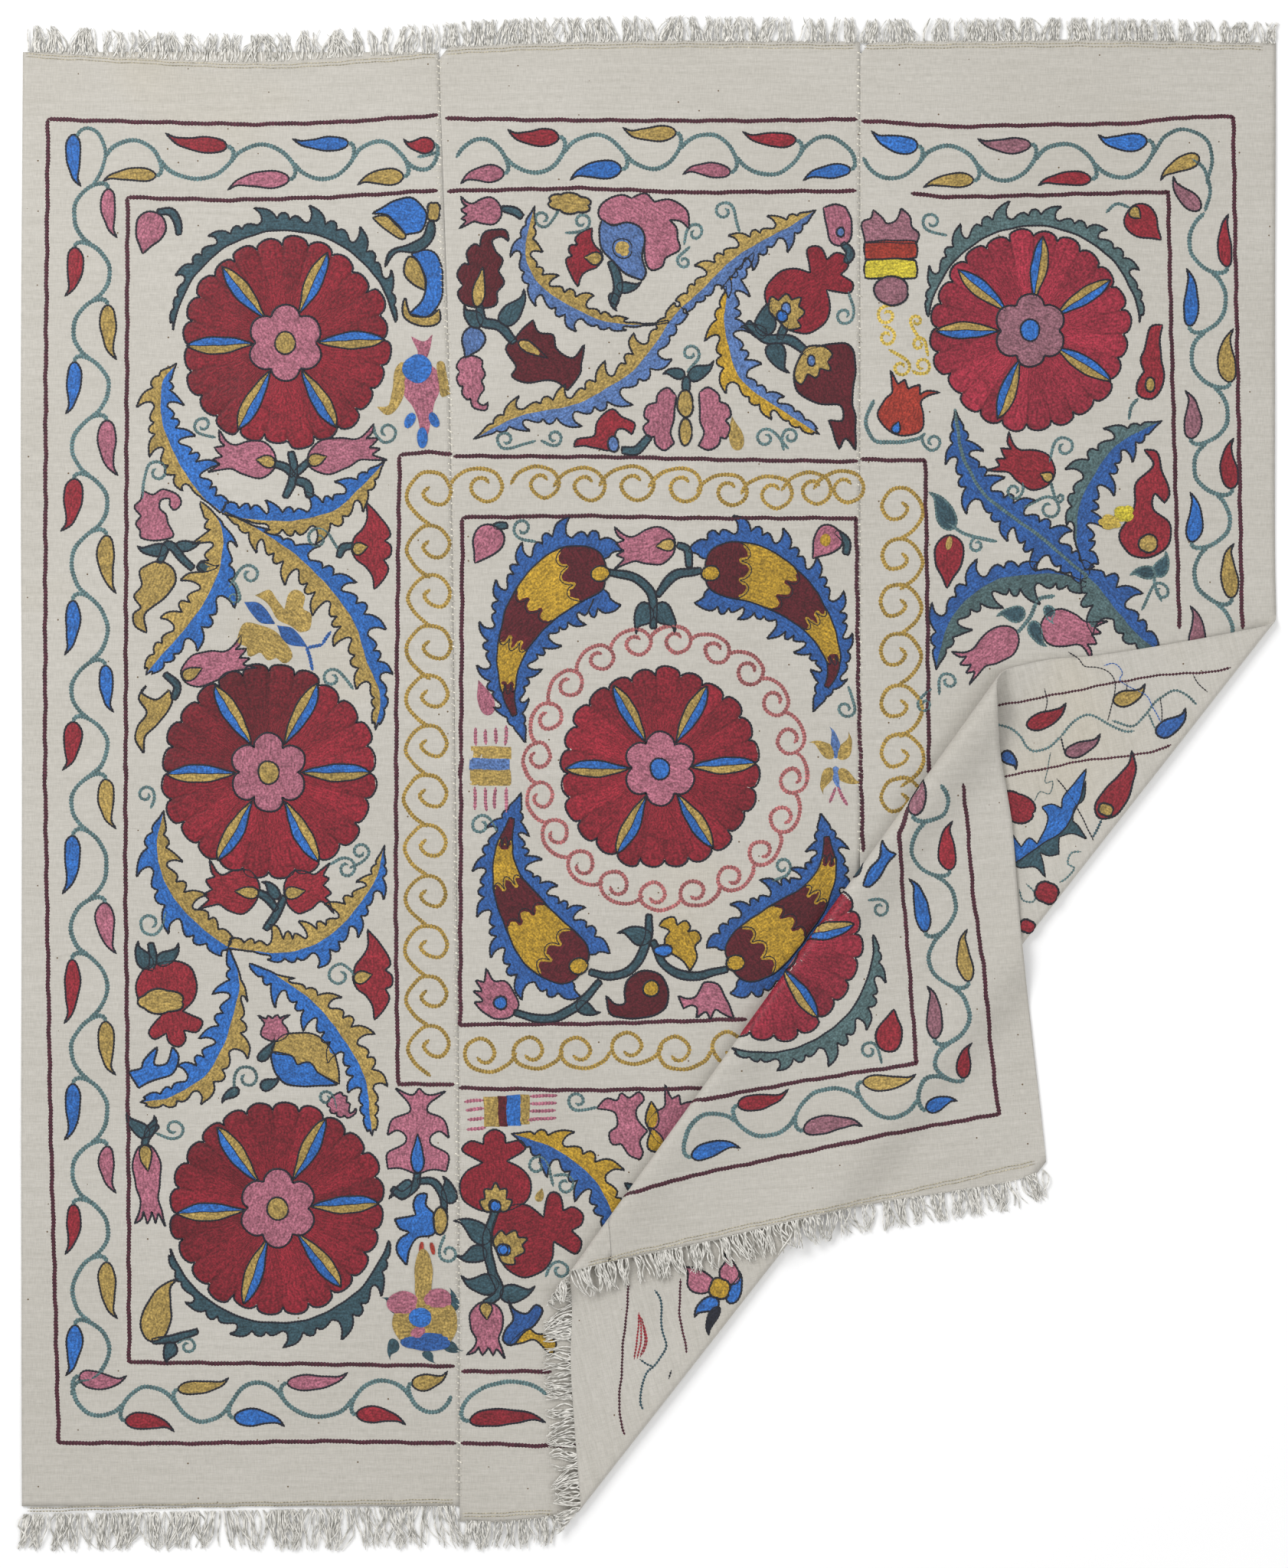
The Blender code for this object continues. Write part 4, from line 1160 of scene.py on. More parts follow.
DROP = (
    (0, 0), (0.08, 0.34), (0.30, 0.50), (0.58, 0.40), (0.82, 0.14), (1.0, -0.06, 1), (0.78, -0.22),
    (0.54, -0.42), (0.28, -0.48), (0.08, -0.32),
)
FLOWERS = (  # region, shape, base, tip, width, dye, dye of the eye, the eye's length
    ("left", TULIP, 360, 605, 280, 590, 46, "pink", "gold", 24),
    ("left", TULIP, 402, 604, 495, 578, -42, "pink", "gold", 24),
    ("left", FAN, 460, 717, 510, 712, 108, "red", "gold", 20),
    ("left", TULIP, 238, 884, 324, 852, -40, "pink", "gold", 26),
    ("left", TULIP, 338, 1168, 268, 1156, 56, "red", "gold", 30),
    ("left", TULIP, 372, 1167, 432, 1160, 54, "red", "gold", 26),
    ("left", FAN, 461, 1277, 511, 1272, 112, "red", "gold", 24),
    ("left", TULIP, 359, 1360, 358, 1326, 34, "pink", "", 0),
    ("left", TULIP, 190, 1494, 196, 1598, 34, "pink", "gold", 34),
    ("left", POMEGRANATE, 211, 1257, 233, 1362, 79, "red", "", 0),
    ("left", LILY, 545, 1532, 548, 1422, 82, "pink", "blue", 50),
    ("left", CARNATION, 434, 1432, 458, 1460, 30, "pink", "", 0),
    ("middle", TULIP, 655, 275, 602, 278, 34, "pink", "", 0),
    ("middle", FAN, 786, 340, 742, 330, 74, "crimson", "gold", 22),
    ("middle", CARNATION, 622, 402, 640, 296, -62, "maroon", "gold", 52),
    ("middle", CARNATION, 612, 466, 622, 538, 38, "pink", "", 0),
    ("middle", POMEGRANATE, 1016, 418, 1100, 338, 88, "crimson", "", 0),
    ("middle", POMEGRANATE, 648, 1581, 645, 1480, 92, "crimson", "", 0),
    ("middle", POMEGRANATE, 650, 1634, 756, 1588, -96, "crimson", "", 0),
    ("middle", TULIP, 635, 1700, 635, 1770, 42, "pink", "gold", 22),
    ("middle", TULIP, 866, 1496, 898, 1436, 60, "pink", "", 0),
    ("centre", TULIP, 882, 712, 804, 716, 46, "pink", "gold", 24),
    ("right", TULIP, 1168, 566, 1194, 500, 58, "orange", "blue", 14),
    ("right", TULIP, 1374, 626, 1304, 590, 48, "red", "gold", 16),
    ("right", TULIP, 1328, 826, 1256, 872, 40, "pink", "", 0),
    ("right", TULIP, 1360, 812, 1434, 836, 46, "pink", "", 0),
    ("right", DROP, 1476, 272, 1514, 316, 42, "red", "gold", 18),
)
CUP_RISE, CUP_EYE_RISE = 0.0005, 0.0011  # metres
CUPS = (  # the gold cup at a pomegranate's stem: base, end of the fruit, width
    (1016, 418, 1100, 338, 80), (648, 1581, 645, 1480, 62), (650, 1634, 756, 1588, 70),
)
BUDS = (  # region, base, tip, width, dye, line's dye
    ("left", 205, 279, 184, 330, 40, "pink", "navy"), ("middle", 677, 446, 716, 469, 14, "gold", "navy"),
    ("middle", 626, 430, 606, 468, 30, "periwinkle", "navy"),
    ("middle", 964, 588, 957, 544, 20, "gold", ""), ("middle", 702, 1570, 708, 1552, 12, "gold", ""),
    ("middle", 858, 1504, 852, 1472, 22, "bright_gold", "navy"),
    ("middle", 852, 1474, 852, 1438, 18, "bright_gold", "navy"),
    ("middle", 838, 1562, 816, 1544, 14, "teal", "navy"),
    ("centre", 650, 690, 618, 734, 40, "pink", "navy"),
    ("centre", 1094, 692, 1060, 728, 38, "pink", "navy"), ("centre", 640, 934, 626, 888, 22, "pink", ""),
    ("right", 1243, 700, 1234, 768, 38, "red", "navy"), ("flap", 1156, 1372, 1168, 1318, 34, "red", "navy"),
)
BLOBS = (  # region, middle, half width, half height, lobes, depth, turn in degrees, dye, line's dye
    ("left", 556, 1728, 42, 36, 3, 0.03, 0, "gold", ""),
    ("left", 527, 1702, 21, 16, 3, 0.04, 0, "pink", ""),
    ("left", 571, 1697, 19, 14, 3, 0.04, 0, "pink", ""),
    ("left", 557, 1751, 33, 13, 3, 0.05, 0, "deep_blue", ""),
    ("left", 546, 1740, 11, 9, 3, 0.05, 0, "pink", ""), ("left", 549, 1720, 14, 13, 3, 0.04, 0, "blue", ""),
    ("left", 545, 482, 19, 18, 3, 0.04, 0, "blue", ""),
    ("right", 1502, 503, 6, 9, 2, 0.03, 0, "gold", "navy"),
    ("right", 1499, 710, 12, 11, 3, 0.06, 0, "gold", "navy"),
    ("right", 1239, 710, 4, 9, 2, 0.03, 10, "gold", ""),
    ("right", 1467, 671, 13, 10, 4, 0.16, 0, "yellow", ""),
    ("right", 1449, 682, 14, 9, 5, 0.16, 0, "straw", ""),
    ("left", 566, 277, 8, 12, 4, 0.12, 0, "gold", "navy"),
    ("middle", 813, 325, 13, 13, 3, 0.03, 0, "gold", "navy"),
    ("left", 575, 1594, 9, 17, 2, 0.04, 0, "gold", "navy"),
    ("middle", 801, 580, 7, 9, 2, 0.04, 0, "periwinkle", "navy"),
    ("left", 211, 1308, 28, 15, 5, 0.08, 0, "gold", "navy"),
    ("left", 552, 572, 7, 14, 2, 0.03, 0, "blue", ""), ("left", 535, 549, 6, 11, 2, 0.03, 30, "blue", ""),
    ("left", 567, 549, 6, 11, 2, 0.03, -30, "blue", ""),
    ("left", 553, 1668, 12, 36, 2, 0.03, 0, "gold", ""),
    ("left", 551, 1630, 3, 9, 2, 0.03, 8, "orange", ""),
    ("left", 565, 1630, 3, 9, 2, 0.03, -8, "orange", ""),
    ("middle", 744, 266, 26, 12, 6, 0.12, 8, "gold", "navy"),
    ("middle", 895, 527, 10, 17, 2, 0.02, 0, "gold", "navy"),
    ("middle", 895, 564, 8, 17, 2, 0.02, 0, "gold", "navy"),
    ("middle", 1098, 303, 5, 6, 3, 0.03, 0, "periwinkle", "navy"),
    ("middle", 1027, 403, 6, 8, 2, 0.03, 0, "periwinkle", "navy"),
    ("middle", 1060, 472, 5, 7, 2, 0.03, 0, "periwinkle", "navy"),
    ("middle", 645, 1574, 6, 7, 2, 0.03, 0, "blue", "navy"),
    ("middle", 660, 1632, 7, 7, 2, 0.03, 0, "blue", "navy"),
    ("centre", 850, 1291, 10, 10, 3, 0.03, 0, "bright_gold", "navy"),
    ("centre", 654, 1310, 8, 8, 3, 0.03, 0, "blue", "navy"),
    ("centre", 866, 1241, 12, 7, 3, 0.04, 0, "blue", "navy"),
    ("centre", 1078, 706, 7, 8, 3, 0.03, 0, "bright_gold", ""),
    ("right", 1164, 380, 22, 18, 3, 0.04, 0, "mauve", "navy"),
)
LEAVES = (  # region, dye, line's dye, then each leaf: base, tip, width
    ("left", "teal", "navy", (198, 1262, 172, 1240, -20), (204, 1256, 238, 1244, 18),
     (196, 1482, 160, 1462, -16), (190, 1484, 208, 1462, 12), (362, 1174, 350, 1148, 14),
     (338, 1384, 364, 1362, 12), (340, 1418, 366, 1414, 14), (312, 1424, 288, 1432, 12),
     (230, 1756, 210, 1772, 18), (536, 1556, 514, 1548, 26), (584, 1570, 592, 1540, 20)),
    ("left", "teal", "", (520, 1716, 508, 1690, 16), (588, 1712, 598, 1686, 16), (520, 1752, 502, 1766, 18),
     (584, 1752, 596, 1770, 16), (559, 1764, 559, 1780, 14)),
    ("left", "teal", "navy", (258, 738, 284, 746, 12), (218, 716, 182, 724, -16)),
    ("middle", "teal", "navy", (636, 1624, 606, 1584, 24), (634, 1630, 604, 1652, -22),
     (650, 1674, 606, 1684, -26), (654, 1686, 694, 1696, 24), (806, 374, 836, 378, 14),
     (804, 384, 796, 402, 14), (892, 492, 870, 480, 14), (898, 490, 934, 484, 18),
     (1000, 440, 972, 420, 16), (1002, 438, 994, 394, -26), (1014, 448, 1012, 486, 26),
     (630, 420, 602, 414, -22), (652, 420, 694, 392, 24)),
    ("centre", "teal", "navy", (852, 796, 822, 812, 26), (854, 796, 888, 810, -26),
     (846, 1232, 818, 1206, 24), (755, 1308, 776, 1330, 16)),
    ("right", "teal", "vine", (1238, 692, 1230, 640, 24), (1336, 808, 1308, 792, 20),
     (1350, 812, 1356, 846, 16), (1372, 792, 1366, 812, 14), (1508, 752, 1480, 740, 16),
     (1508, 750, 1530, 730, 18)),
    ("left", "gold", "navy", (203, 1752, 206, 1668, -38)),
    ("left", "teal", "navy", (230, 712, 262, 715, 13)),
    ("flap", "teal", "navy", (1110, 1142, 1124, 1118, 16)),
)
STEMS = (  # region, then each stem: its width and places along it
    ("left", (8, (234, 306), (232, 288), (222, 276), (206, 277)), (9, (373, 650), (384, 622), (380, 590)),
     (8, (350, 603), (372, 610), (384, 622)), (8, (384, 622), (404, 602)),
     (10, (386, 628), (402, 634), (404, 650)), (8, (442, 728), (448, 716), (462, 712)),
     (8, (226, 914), (232, 896), (216, 880)), (9, (208, 736), (220, 712), (240, 732), (252, 742)),
     (8, (196, 1268), (200, 1250), (197, 1232)), (8, (346, 1214), (362, 1192), (372, 1170)),
     (8, (332, 1164), (348, 1172), (362, 1188)), (8, (190, 1498), (192, 1486), (206, 1470)),
     (8, (200, 1752), (226, 1748), (258, 1738)), (9, (545, 1530), (542, 1548), (526, 1560), (512, 1552)),
     (8, (545, 1542), (566, 1544), (578, 1560), (580, 1584))),
    ("middle", (8, (656, 272), (672, 276), (682, 284)), (10, (800, 396), (808, 372), (798, 342)),
     (10, (626, 400), (630, 420), (652, 426), (672, 448)),
     (10, (976, 422), (1000, 442), (1030, 444), (1058, 464)), (9, (1018, 443), (1026, 420)),
     (9, (1104, 344), (1110, 330), (1100, 318)), (9, (896, 512), (896, 492)),
     (10, (812, 588), (832, 588), (848, 570)),
     (10, (648, 1578), (636, 1616), (642, 1658), (652, 1688), (634, 1702))),
    ("centre", (9, (795, 748), (830, 755), (852, 780), (853, 820)), (9, (915, 745), (880, 752), (858, 778)),
     (8, (885, 712), (898, 718), (900, 740)), (8, (645, 688), (662, 686)),
     (8, (1092, 694), (1106, 708), (1104, 724)),
     (9, (770, 1270), (800, 1275), (830, 1260), (845, 1228), (848, 1195)),
     (9, (950, 1265), (905, 1275), (870, 1262), (852, 1228)),
     (9, (672, 1322), (716, 1331), (752, 1314), (784, 1282))),
)
CURLS = (  # region, then each curl: middle, radius, way it turns (1 clockwise), where its tail ends
    ("left", (265, 555, 12, -1, 282, 572), (206, 616, 15, -1, 186, 652), (505, 565, 15, 1, 488, 556),
     (415, 704, 15, 1, 444, 722), (326, 750, 13, -1, 298, 768), (306, 780, 8, -1, 306, 760),
     (434, 886, 13, 1, 462, 900), (191, 1038, 12, 1, 196, 1056), (196, 1206, 17, -1, 216, 1190),
     (471, 1112, 12, 1, 456, 1134), (452, 1134, 14, -1, 430, 1130), (443, 1274, 17, 1, 462, 1276),
     (323, 1408, 17, -1, 306, 1428), (426, 1434, 10, 1, 440, 1448), (228, 1474, 14, 1, 204, 1480),
     (246, 1758, 11, -1, 232, 1754), (586, 1636, 13, 1, 582, 1612)),
    ("middle", (708, 286, 12, -1, 734, 264), (760, 290, 12, 1, 738, 304), (945, 276, 13, 1, 966, 304),
     (908, 304, 12, -1, 894, 320), (893, 342, 9, 1, 902, 322), (1102, 412, 13, -1, 1108, 380),
     (902, 462, 12, 1, 896, 486), (660, 574, 12, -1, 700, 576), (724, 572, 11, 1, 706, 576),
     (1000, 573, 13, 1, 1030, 586), (1032, 570, 11, -1, 1024, 588), (702, 1522, 13, 1, 722, 1550),
     (738, 1547, 13, -1, 722, 1536), (731, 1659, 13, -1, 712, 1668), (754, 1438, 13, -1, 780, 1446)),
    ("centre", (682, 690, 13, -1, 700, 708), (628, 1078, 14, 1, 650, 1088), (1104, 926, 12, -1, 1108, 896),
     (1022, 1132, 12, 1, 1008, 1152)),
    ("right", (1216, 290, 13, -1, 1236, 308), (1390, 584, 14, -1, 1370, 604),
     (1324, 642, 11, -1, 1336, 630), (1370, 664, 16, -1, 1336, 664), (1384, 650, 6, 1, 1372, 628),
     (1276, 712, 10, 1, 1302, 708), (1218, 578, 12, 1, 1204, 570), (1516, 773, 12, -1, 1490, 798),
     (1238, 890, 12, -1, 1226, 908), (1208, 920, 10, 1, 1216, 900)),
    ("flap", (1148, 1186, 12, -1, 1132, 1176), (1134, 1372, 12, 1, 1150, 1388)),
)


def blob(work, x, y, wide, high, lobes, depth, turned, dye, line, base=0.0):
    """A lobed round patch: its radius swells and narrows as often as it has lobes."""
    angle = np.linspace(0.0, 2.0 * math.pi, 12 * lobes + 25)
    away = 1.0 - depth + 2.0 * depth * np.abs(np.sin(angle * lobes / 2.0)) ** 0.7
    xy = np.stack([wide * away * np.cos(angle), high * away * np.sin(angle)], 1)
    turned = math.radians(turned)
    turning = np.array([[math.cos(turned), math.sin(turned)], [-math.sin(turned), math.cos(turned)]])
    motif(work, xy @ turning + [x, y], dye, base, line)


def flower(work, shape, x_0, y_0, x_1, y_1, width, dye, eye, eye_length):
    """A flower of one shape from its base to its tip, with a drop of another dye at its base."""
    motif(work, closed_curve(on_axis(shape, x_0, y_0, x_1, y_1, width)), dye)
    if eye:
        run = np.array([x_1 - x_0, y_1 - y_0]) / math.hypot(x_1 - x_0, y_1 - y_0)
        start, end = np.array([x_0, y_0]) + run, np.array([x_0, y_0]) + run * (eye_length + 2)
        drop = closed_curve(on_axis(DROP, *start, *end, min(16.0, eye_length * 0.8)))
        motif(work, drop, eye, EYE_DROP_RISE, width=INNER_OUTLINE)


def stem(work, width, *knots):
    """A ribbon of teal along a smooth path, a little wider at its middle, with a dark outline."""
    path, _ = evenly(smooth(knots, 6), 3.0)
    reach = width / 2 * (0.8 + 0.3 * np.sin(np.linspace(0.0, math.pi, len(path))))
    half = sides(path)[1] * reach[:, None]
    motif(work, np.vstack([path + half, (path - half)[::-1], path[:1] + half[:1]]), "teal", 2 * ABOVE)


def curl(work, x, y, radius, spin, tail_x, tail_y, dye="vine", width=4.6):
    """A spiral of one row of thread, which leaves its circle on the tangent towards its tail."""
    reach = max(math.hypot(tail_x - x, tail_y - y), radius * 1.05)
    leaves = math.atan2(tail_y - y, tail_x - x) - spin * math.acos(radius / reach)
    angle = leaves - spin * np.linspace(2.3 * math.pi, 0.0, 22)
    away = radius * np.linspace(0.25, 1.0, 22) ** 0.8
    path = round_path(x, y, away, away, -angle)
    stroke(work, smooth(np.vstack([path[::3], [[tail_x, tail_y]]]), 5), width, dye)


for region, *rows in STEMS:
    for values in rows:
        stem(regions[region], *values)
for region, dye, line, *rows in LEAVES:
    for values in rows:
        leaf(regions[region], *values, dye, line, ABOVE)
for region, *values in FLOWERS:
    flower(regions[region], *values)
for values in CUPS:
    motif(middle, closed_curve(on_axis(CUP, *values)), "gold", CUP_RISE)
    blob(middle, *on_axis(((0.06, 0.0),), *values)[0], 7, 7, 2, 0.03, 0, "blue", "navy", CUP_EYE_RISE)
for region, *values, dye, line in BUDS:
    motif(regions[region], closed_curve(on_axis(DROP, *values)), dye, 2 * ABOVE, line)
for step, (region, x, y, wide, *values) in enumerate(BLOBS):
    near = [math.hypot(x - u, y - v) < wide + size
            for other, u, v, size, *_ in BLOBS[:step] if other == region]
    blob(regions[region], x, y, wide, *values, BLOB_RISE + PILE_RISE * min(sum(near), 7))
for region, *rows in CURLS:
    for values in rows:
        curl(regions[region], *values)

# The free forms: palmettes, pods and winged plants, each with an outline of its own, and the
# combs, the butterflies and the vase, small figures in plain rows, most without an outline.
LEVEL = 0.0005  # metres from one level of patches to the next
FIGURES = (  # region, dye, line's dye, level, then places round it (a third value marks a point)
    ("left", "pink", "navy", 0, (187, 641, 1), (200, 646), (213, 639), (230, 645), (236, 657), (228, 666),
     (221, 660, 1), (221, 651), (210, 653), (208, 664), (217, 672), (220, 684, 1), (227, 700), (210, 706),
     (186, 703), (184, 693, 1), (177, 684), (184, 674, 1), (176, 662), (184, 654)),
    ("left", "gold", "navy", 0, (205, 734), (224, 741), (230, 760), (212, 783), (189, 802), (192, 827, 1),
     (177, 818), (174, 803), (184, 794), (176, 778), (186, 764), (183, 744)),
    ("left", "gold", "navy", 0, (222, 902, 1), (204, 914), (186, 905), (192, 895, 1), (182, 912),
     (192, 930), (180, 948), (178, 966), (188, 984, 1), (190, 962), (208, 944), (224, 918)),
    ("left", "gold", "navy", 0, (486, 285, 1), (505, 282), (517, 294), (530, 307), (524, 312), (505, 302)),
    ("left", "blue", "navy", 0, (486, 280, 1), (515, 263), (539, 260), (556, 280), (551, 301),
     (530, 306, 1), (517, 291), (505, 280)),
    ("left", "gold", "navy", 0, (534, 336), (527, 355), (539, 370), (556, 380, 1), (554, 360), (544, 340)),
    ("left", "blue", "navy", 0, (539, 331), (563, 328), (577, 350), (576, 389), (559, 413), (534, 411, 1),
     (553, 390), (557, 366), (546, 341)),
    ("left", "gold", "navy", 0, (530, 389), (527, 413), (549, 426), (573, 421), (574, 404, 1), (559, 414),
     (536, 412)),
    ("left", "teal", "navy", 0, (567, 292), (566, 311), (548, 328), (518, 330), (503, 350, 1), (509, 330),
     (530, 321), (552, 310), (560, 292)),
    ("left", "gold", "navy", 0, (356, 1368), (372, 1351), (410, 1351), (436, 1375), (444, 1416, 1),
     (415, 1400, 1), (404, 1388), (388, 1391, 1), (380, 1378), (361, 1376)),
    ("left", "blue", "navy", 0, (356, 1375), (380, 1378), (388, 1391, 1), (404, 1388), (415, 1400, 1),
     (442, 1416, 1), (383, 1418), (361, 1402)),
    ("left", "blue", "navy", 0, (206, 1367, 1), (188, 1385), (184, 1396), (168, 1400, 1), (181, 1421, 1),
     (201, 1410), (225, 1402), (233, 1380), (225, 1367, 1), (218, 1388), (201, 1390)),
    ("left", "gold", "", 0, (333, 778, 1), (352, 771), (364, 786), (371, 796, 1), (377, 776), (388, 770),
     (398, 779), (395, 796, 1), (407, 804), (405, 822), (392, 827, 1), (380, 818), (362, 808), (350, 788)),
    ("left", "gold", "", 0, (318, 815), (310, 838), (322, 845, 1), (326, 858), (341, 852, 1), (350, 863),
     (361, 858, 1), (372, 866), (382, 855), (365, 829), (342, 817)),
    ("left", "deep_blue", "", 0, (319, 786, 1), (342, 790), (360, 815, 1), (338, 812)),
    ("left", "deep_blue", "", 0, (361, 816, 1), (384, 822), (402, 846, 1), (374, 840)),
    ("left", "gold", "", 0, (528, 474), (516, 482), (512, 511), (508, 530), (493, 532, 1), (505, 543),
     (519, 534), (529, 511)),
    ("left", "gold", "", 0, (570, 474), (581, 476), (588, 515, 1), (576, 519), (573, 496)),
    ("left", "pink", "", 0, (526, 492), (528, 515), (541, 534), (551, 566), (560, 566), (566, 530),
     (574, 511), (571, 484), (548, 476)),
    ("left", "pink", "", 0, (537, 440, 1), (545, 457), (546, 468), (557, 468), (566, 436, 1), (555, 446)),
    ("middle", "maroon", "navy", 0, (1082, 450), (1109, 452), (1117, 483), (1112, 523), (1117, 546),
     (1117, 588, 1), (1105, 572), (1096, 586, 1), (1089, 568), (1082, 550, 1), (1100, 549), (1097, 530),
     (1069, 527), (1042, 511), (1037, 488), (1051, 461)),
    ("middle", "gold", "navy", 1, (1051, 457), (1073, 452), (1087, 462), (1080, 472, 1), (1084, 484),
     (1070, 482, 1), (1066, 494), (1054, 488, 1), (1046, 502), (1037, 490)),
    ("right", "red", "navy", 0, (1502, 428), (1518, 424, 1), (1514, 447), (1516, 470), (1520, 497),
     (1506, 520), (1487, 516), (1485, 501), (1495, 486, 1), (1489, 470), (1495, 455)),
    ("right", "red", "navy", 0, (1493, 588, 1), (1510, 591), (1516, 612), (1527, 642), (1520, 656, 1),
     (1507, 644), (1505, 666), (1526, 682), (1527, 708), (1506, 726), (1476, 724), (1462, 697), (1480, 666),
     (1484, 632), (1506, 608)),
    ("middle", "pink", "navy", 0, (779, 1448, 1), (792, 1434), (806, 1437), (812, 1428), (822, 1434),
     (834, 1427), (841, 1437), (832, 1448), (832, 1462), (845, 1477, 1), (835, 1490), (840, 1504),
     (836, 1514, 1), (822, 1508), (812, 1494, 1), (800, 1494), (796, 1480), (806, 1470), (802, 1452)),
    ("middle", "pink", "navy", 0, (782, 282), (787, 265), (810, 255), (825, 260, 1), (843, 253),
     (855, 264, 1), (876, 261), (896, 275), (900, 299, 1), (889, 289), (873, 287, 1), (883, 298),
     (884, 312, 1), (888, 326), (869, 338, 1), (864, 349), (851, 353), (843, 340), (842, 315), (835, 297),
     (817, 291), (797, 293)),
    ("middle", "periwinkle", "navy", 1, (787, 288, 1), (800, 295), (817, 291), (835, 297), (842, 315),
     (838, 336), (843, 354), (838, 366, 1), (815, 356), (800, 341), (786, 326), (783, 304)),
    ("middle", "red", "navy", 0, (749, 584, 1), (755, 573), (776, 570), (781, 550), (798, 535), (812, 545),
     (828, 553), (826, 567, 1), (815, 560), (806, 562), (802, 575), (796, 588), (774, 585), (762, 582)),
    ("middle", "pink", "navy", 0, (883, 517, 1), (872, 507), (860, 515), (858, 526, 1), (846, 530),
     (841, 543), (848, 550, 1), (840, 558), (846, 571), (854, 570, 1), (857, 581), (868, 588),
     (880, 579, 1), (875, 564), (880, 546)),
    ("middle", "pink", "navy", 0, (914, 512, 1), (925, 507), (937, 515), (939, 526, 1), (950, 530),
     (954, 543), (947, 550, 1), (954, 559), (948, 572), (941, 571, 1), (937, 582), (924, 588),
     (913, 583, 1), (920, 566), (914, 548)),
    ("middle", "maroon", "navy", 0, (696, 418, 1), (703, 434), (723, 438), (727, 456), (747, 468),
     (763, 451, 1), (759, 474), (758, 488), (741, 510, 1), (729, 500), (712, 497), (689, 500), (668, 491),
     (674, 478), (661, 456), (672, 443), (683, 430)),
    ("middle", "pink", "navy", 0, (1075, 271, 1), (1090, 267), (1104, 271, 1), (1112, 290), (1111, 310),
     (1100, 321), (1087, 318), (1080, 300)),
    ("left", "blue", "navy", 0, (558, 1560), (546, 1561), (541, 1573), (543, 1587, 1), (531, 1590),
     (516, 1592, 1), (522, 1604), (534, 1610), (522, 1618), (518, 1632), (531, 1652, 1), (536, 1630),
     (546, 1616), (568, 1610), (566, 1584, 1), (556, 1574)),
    ("centre", "pink", "navy", 0, (634, 1265, 1), (645, 1282), (660, 1282), (673, 1300), (677, 1315),
     (667, 1328), (647, 1331), (631, 1321), (619, 1308, 1), (631, 1307), (619, 1294, 1), (630, 1294),
     (621, 1280, 1), (633, 1283, 1)),
    ("centre", "pink", "navy", 0, (921, 1283), (938, 1287), (948, 1306), (959, 1331, 1), (942, 1323),
     (933, 1319), (927, 1332, 1), (921, 1321), (909, 1329, 1), (911, 1316), (903, 1312), (893, 1317, 1),
     (886, 1301, 1), (897, 1304), (909, 1301), (916, 1290)),
    ("centre", "maroon", "navy", 0, (843, 1268), (864, 1276), (872, 1298), (868, 1318), (845, 1328),
     (810, 1329), (796, 1323), (791, 1301, 1), (803, 1312), (817, 1310), (816, 1294), (822, 1277)),
    ("centre", "bright_gold", "navy", 0, (860, 1209, 1), (868, 1200), (880, 1198), (884, 1209, 1),
     (895, 1203), (901, 1211), (897, 1218, 1), (909, 1216), (916, 1226), (908, 1237), (910, 1252),
     (901, 1268, 1), (893, 1256), (881, 1247), (870, 1240), (868, 1226), (874, 1215)),
    ("flap", "blue", "navy", 0, (1126, 1156, 1), (1135, 1134), (1147, 1119), (1151, 1097, 1), (1158, 1111),
     (1168, 1115, 1), (1157, 1128), (1147, 1146), (1135, 1157)),
    ("middle", "deep_blue", "navy", 0, (663, 1697, 1), (672, 1710), (688, 1715), (700, 1704), (709, 1712),
     (700, 1728), (684, 1740), (668, 1756), (657, 1750), (661, 1735), (671, 1722)),
    ("middle", "bright_gold", "navy", 0, (665, 1754), (688, 1735), (700, 1742), (714, 1744), (726, 1754),
     (722, 1770, 1), (712, 1762), (698, 1750), (682, 1753)),
)
BARS = (  # region, two opposite corners, dye
    ("centre", 615, 975, 668, 991, "gold"), ("centre", 613, 990, 666, 1006, "periwinkle"),
    ("centre", 614, 1005, 667, 1026, "gold"), ("middle", 632, 1432, 652, 1472, "gold"),
    ("middle", 650, 1431, 663, 1471, "maroon"), ("middle", 661, 1430, 681, 1470, "blue"),
    ("middle", 679, 1430, 692, 1468, "gold"),
)
TINES = (  # region, dye, then the two ends of each row of thread
    ("centre", "pink", (622, 974, 621, 950), (635, 973, 634, 953), (648, 972, 647, 951),
     (660, 973, 661, 948), (621, 1028, 620, 1058), (634, 1028, 635, 1060), (647, 1028, 646, 1056),
     (661, 1028, 662, 1061)),
    ("middle", "pink", (632, 1437, 606, 1439), (632, 1448, 608, 1450), (632, 1461, 610, 1462),
     (634, 1473, 610, 1475), (692, 1432, 728, 1430), (692, 1442, 728, 1440), (692, 1452, 726, 1450),
     (690, 1463, 726, 1460)),
    ("centre", "pink", (1091, 1028, 1084, 1048), (1094, 1028, 1106, 1052)),
    ("left", "deep_blue", (400, 845, 409, 876), (401, 847, 422, 841), (421, 841, 433, 824)),
)
WINGS = (  # region, base, tip, width, dye: the leaves that make a butterfly's wings and body
    ("centre", 1088, 990, 1066, 962, 18, "gold"), ("centre", 1094, 990, 1118, 964, 18, "gold"),
    ("centre", 1088, 1004, 1066, 1030, 16, "gold"), ("centre", 1094, 1004, 1118, 1030, 16, "gold"),
    ("centre", 1091, 990, 1092, 950, 13, "periwinkle"),
    ("centre", 1091, 1000, 1091, 1032, 11, "periwinkle"),
)
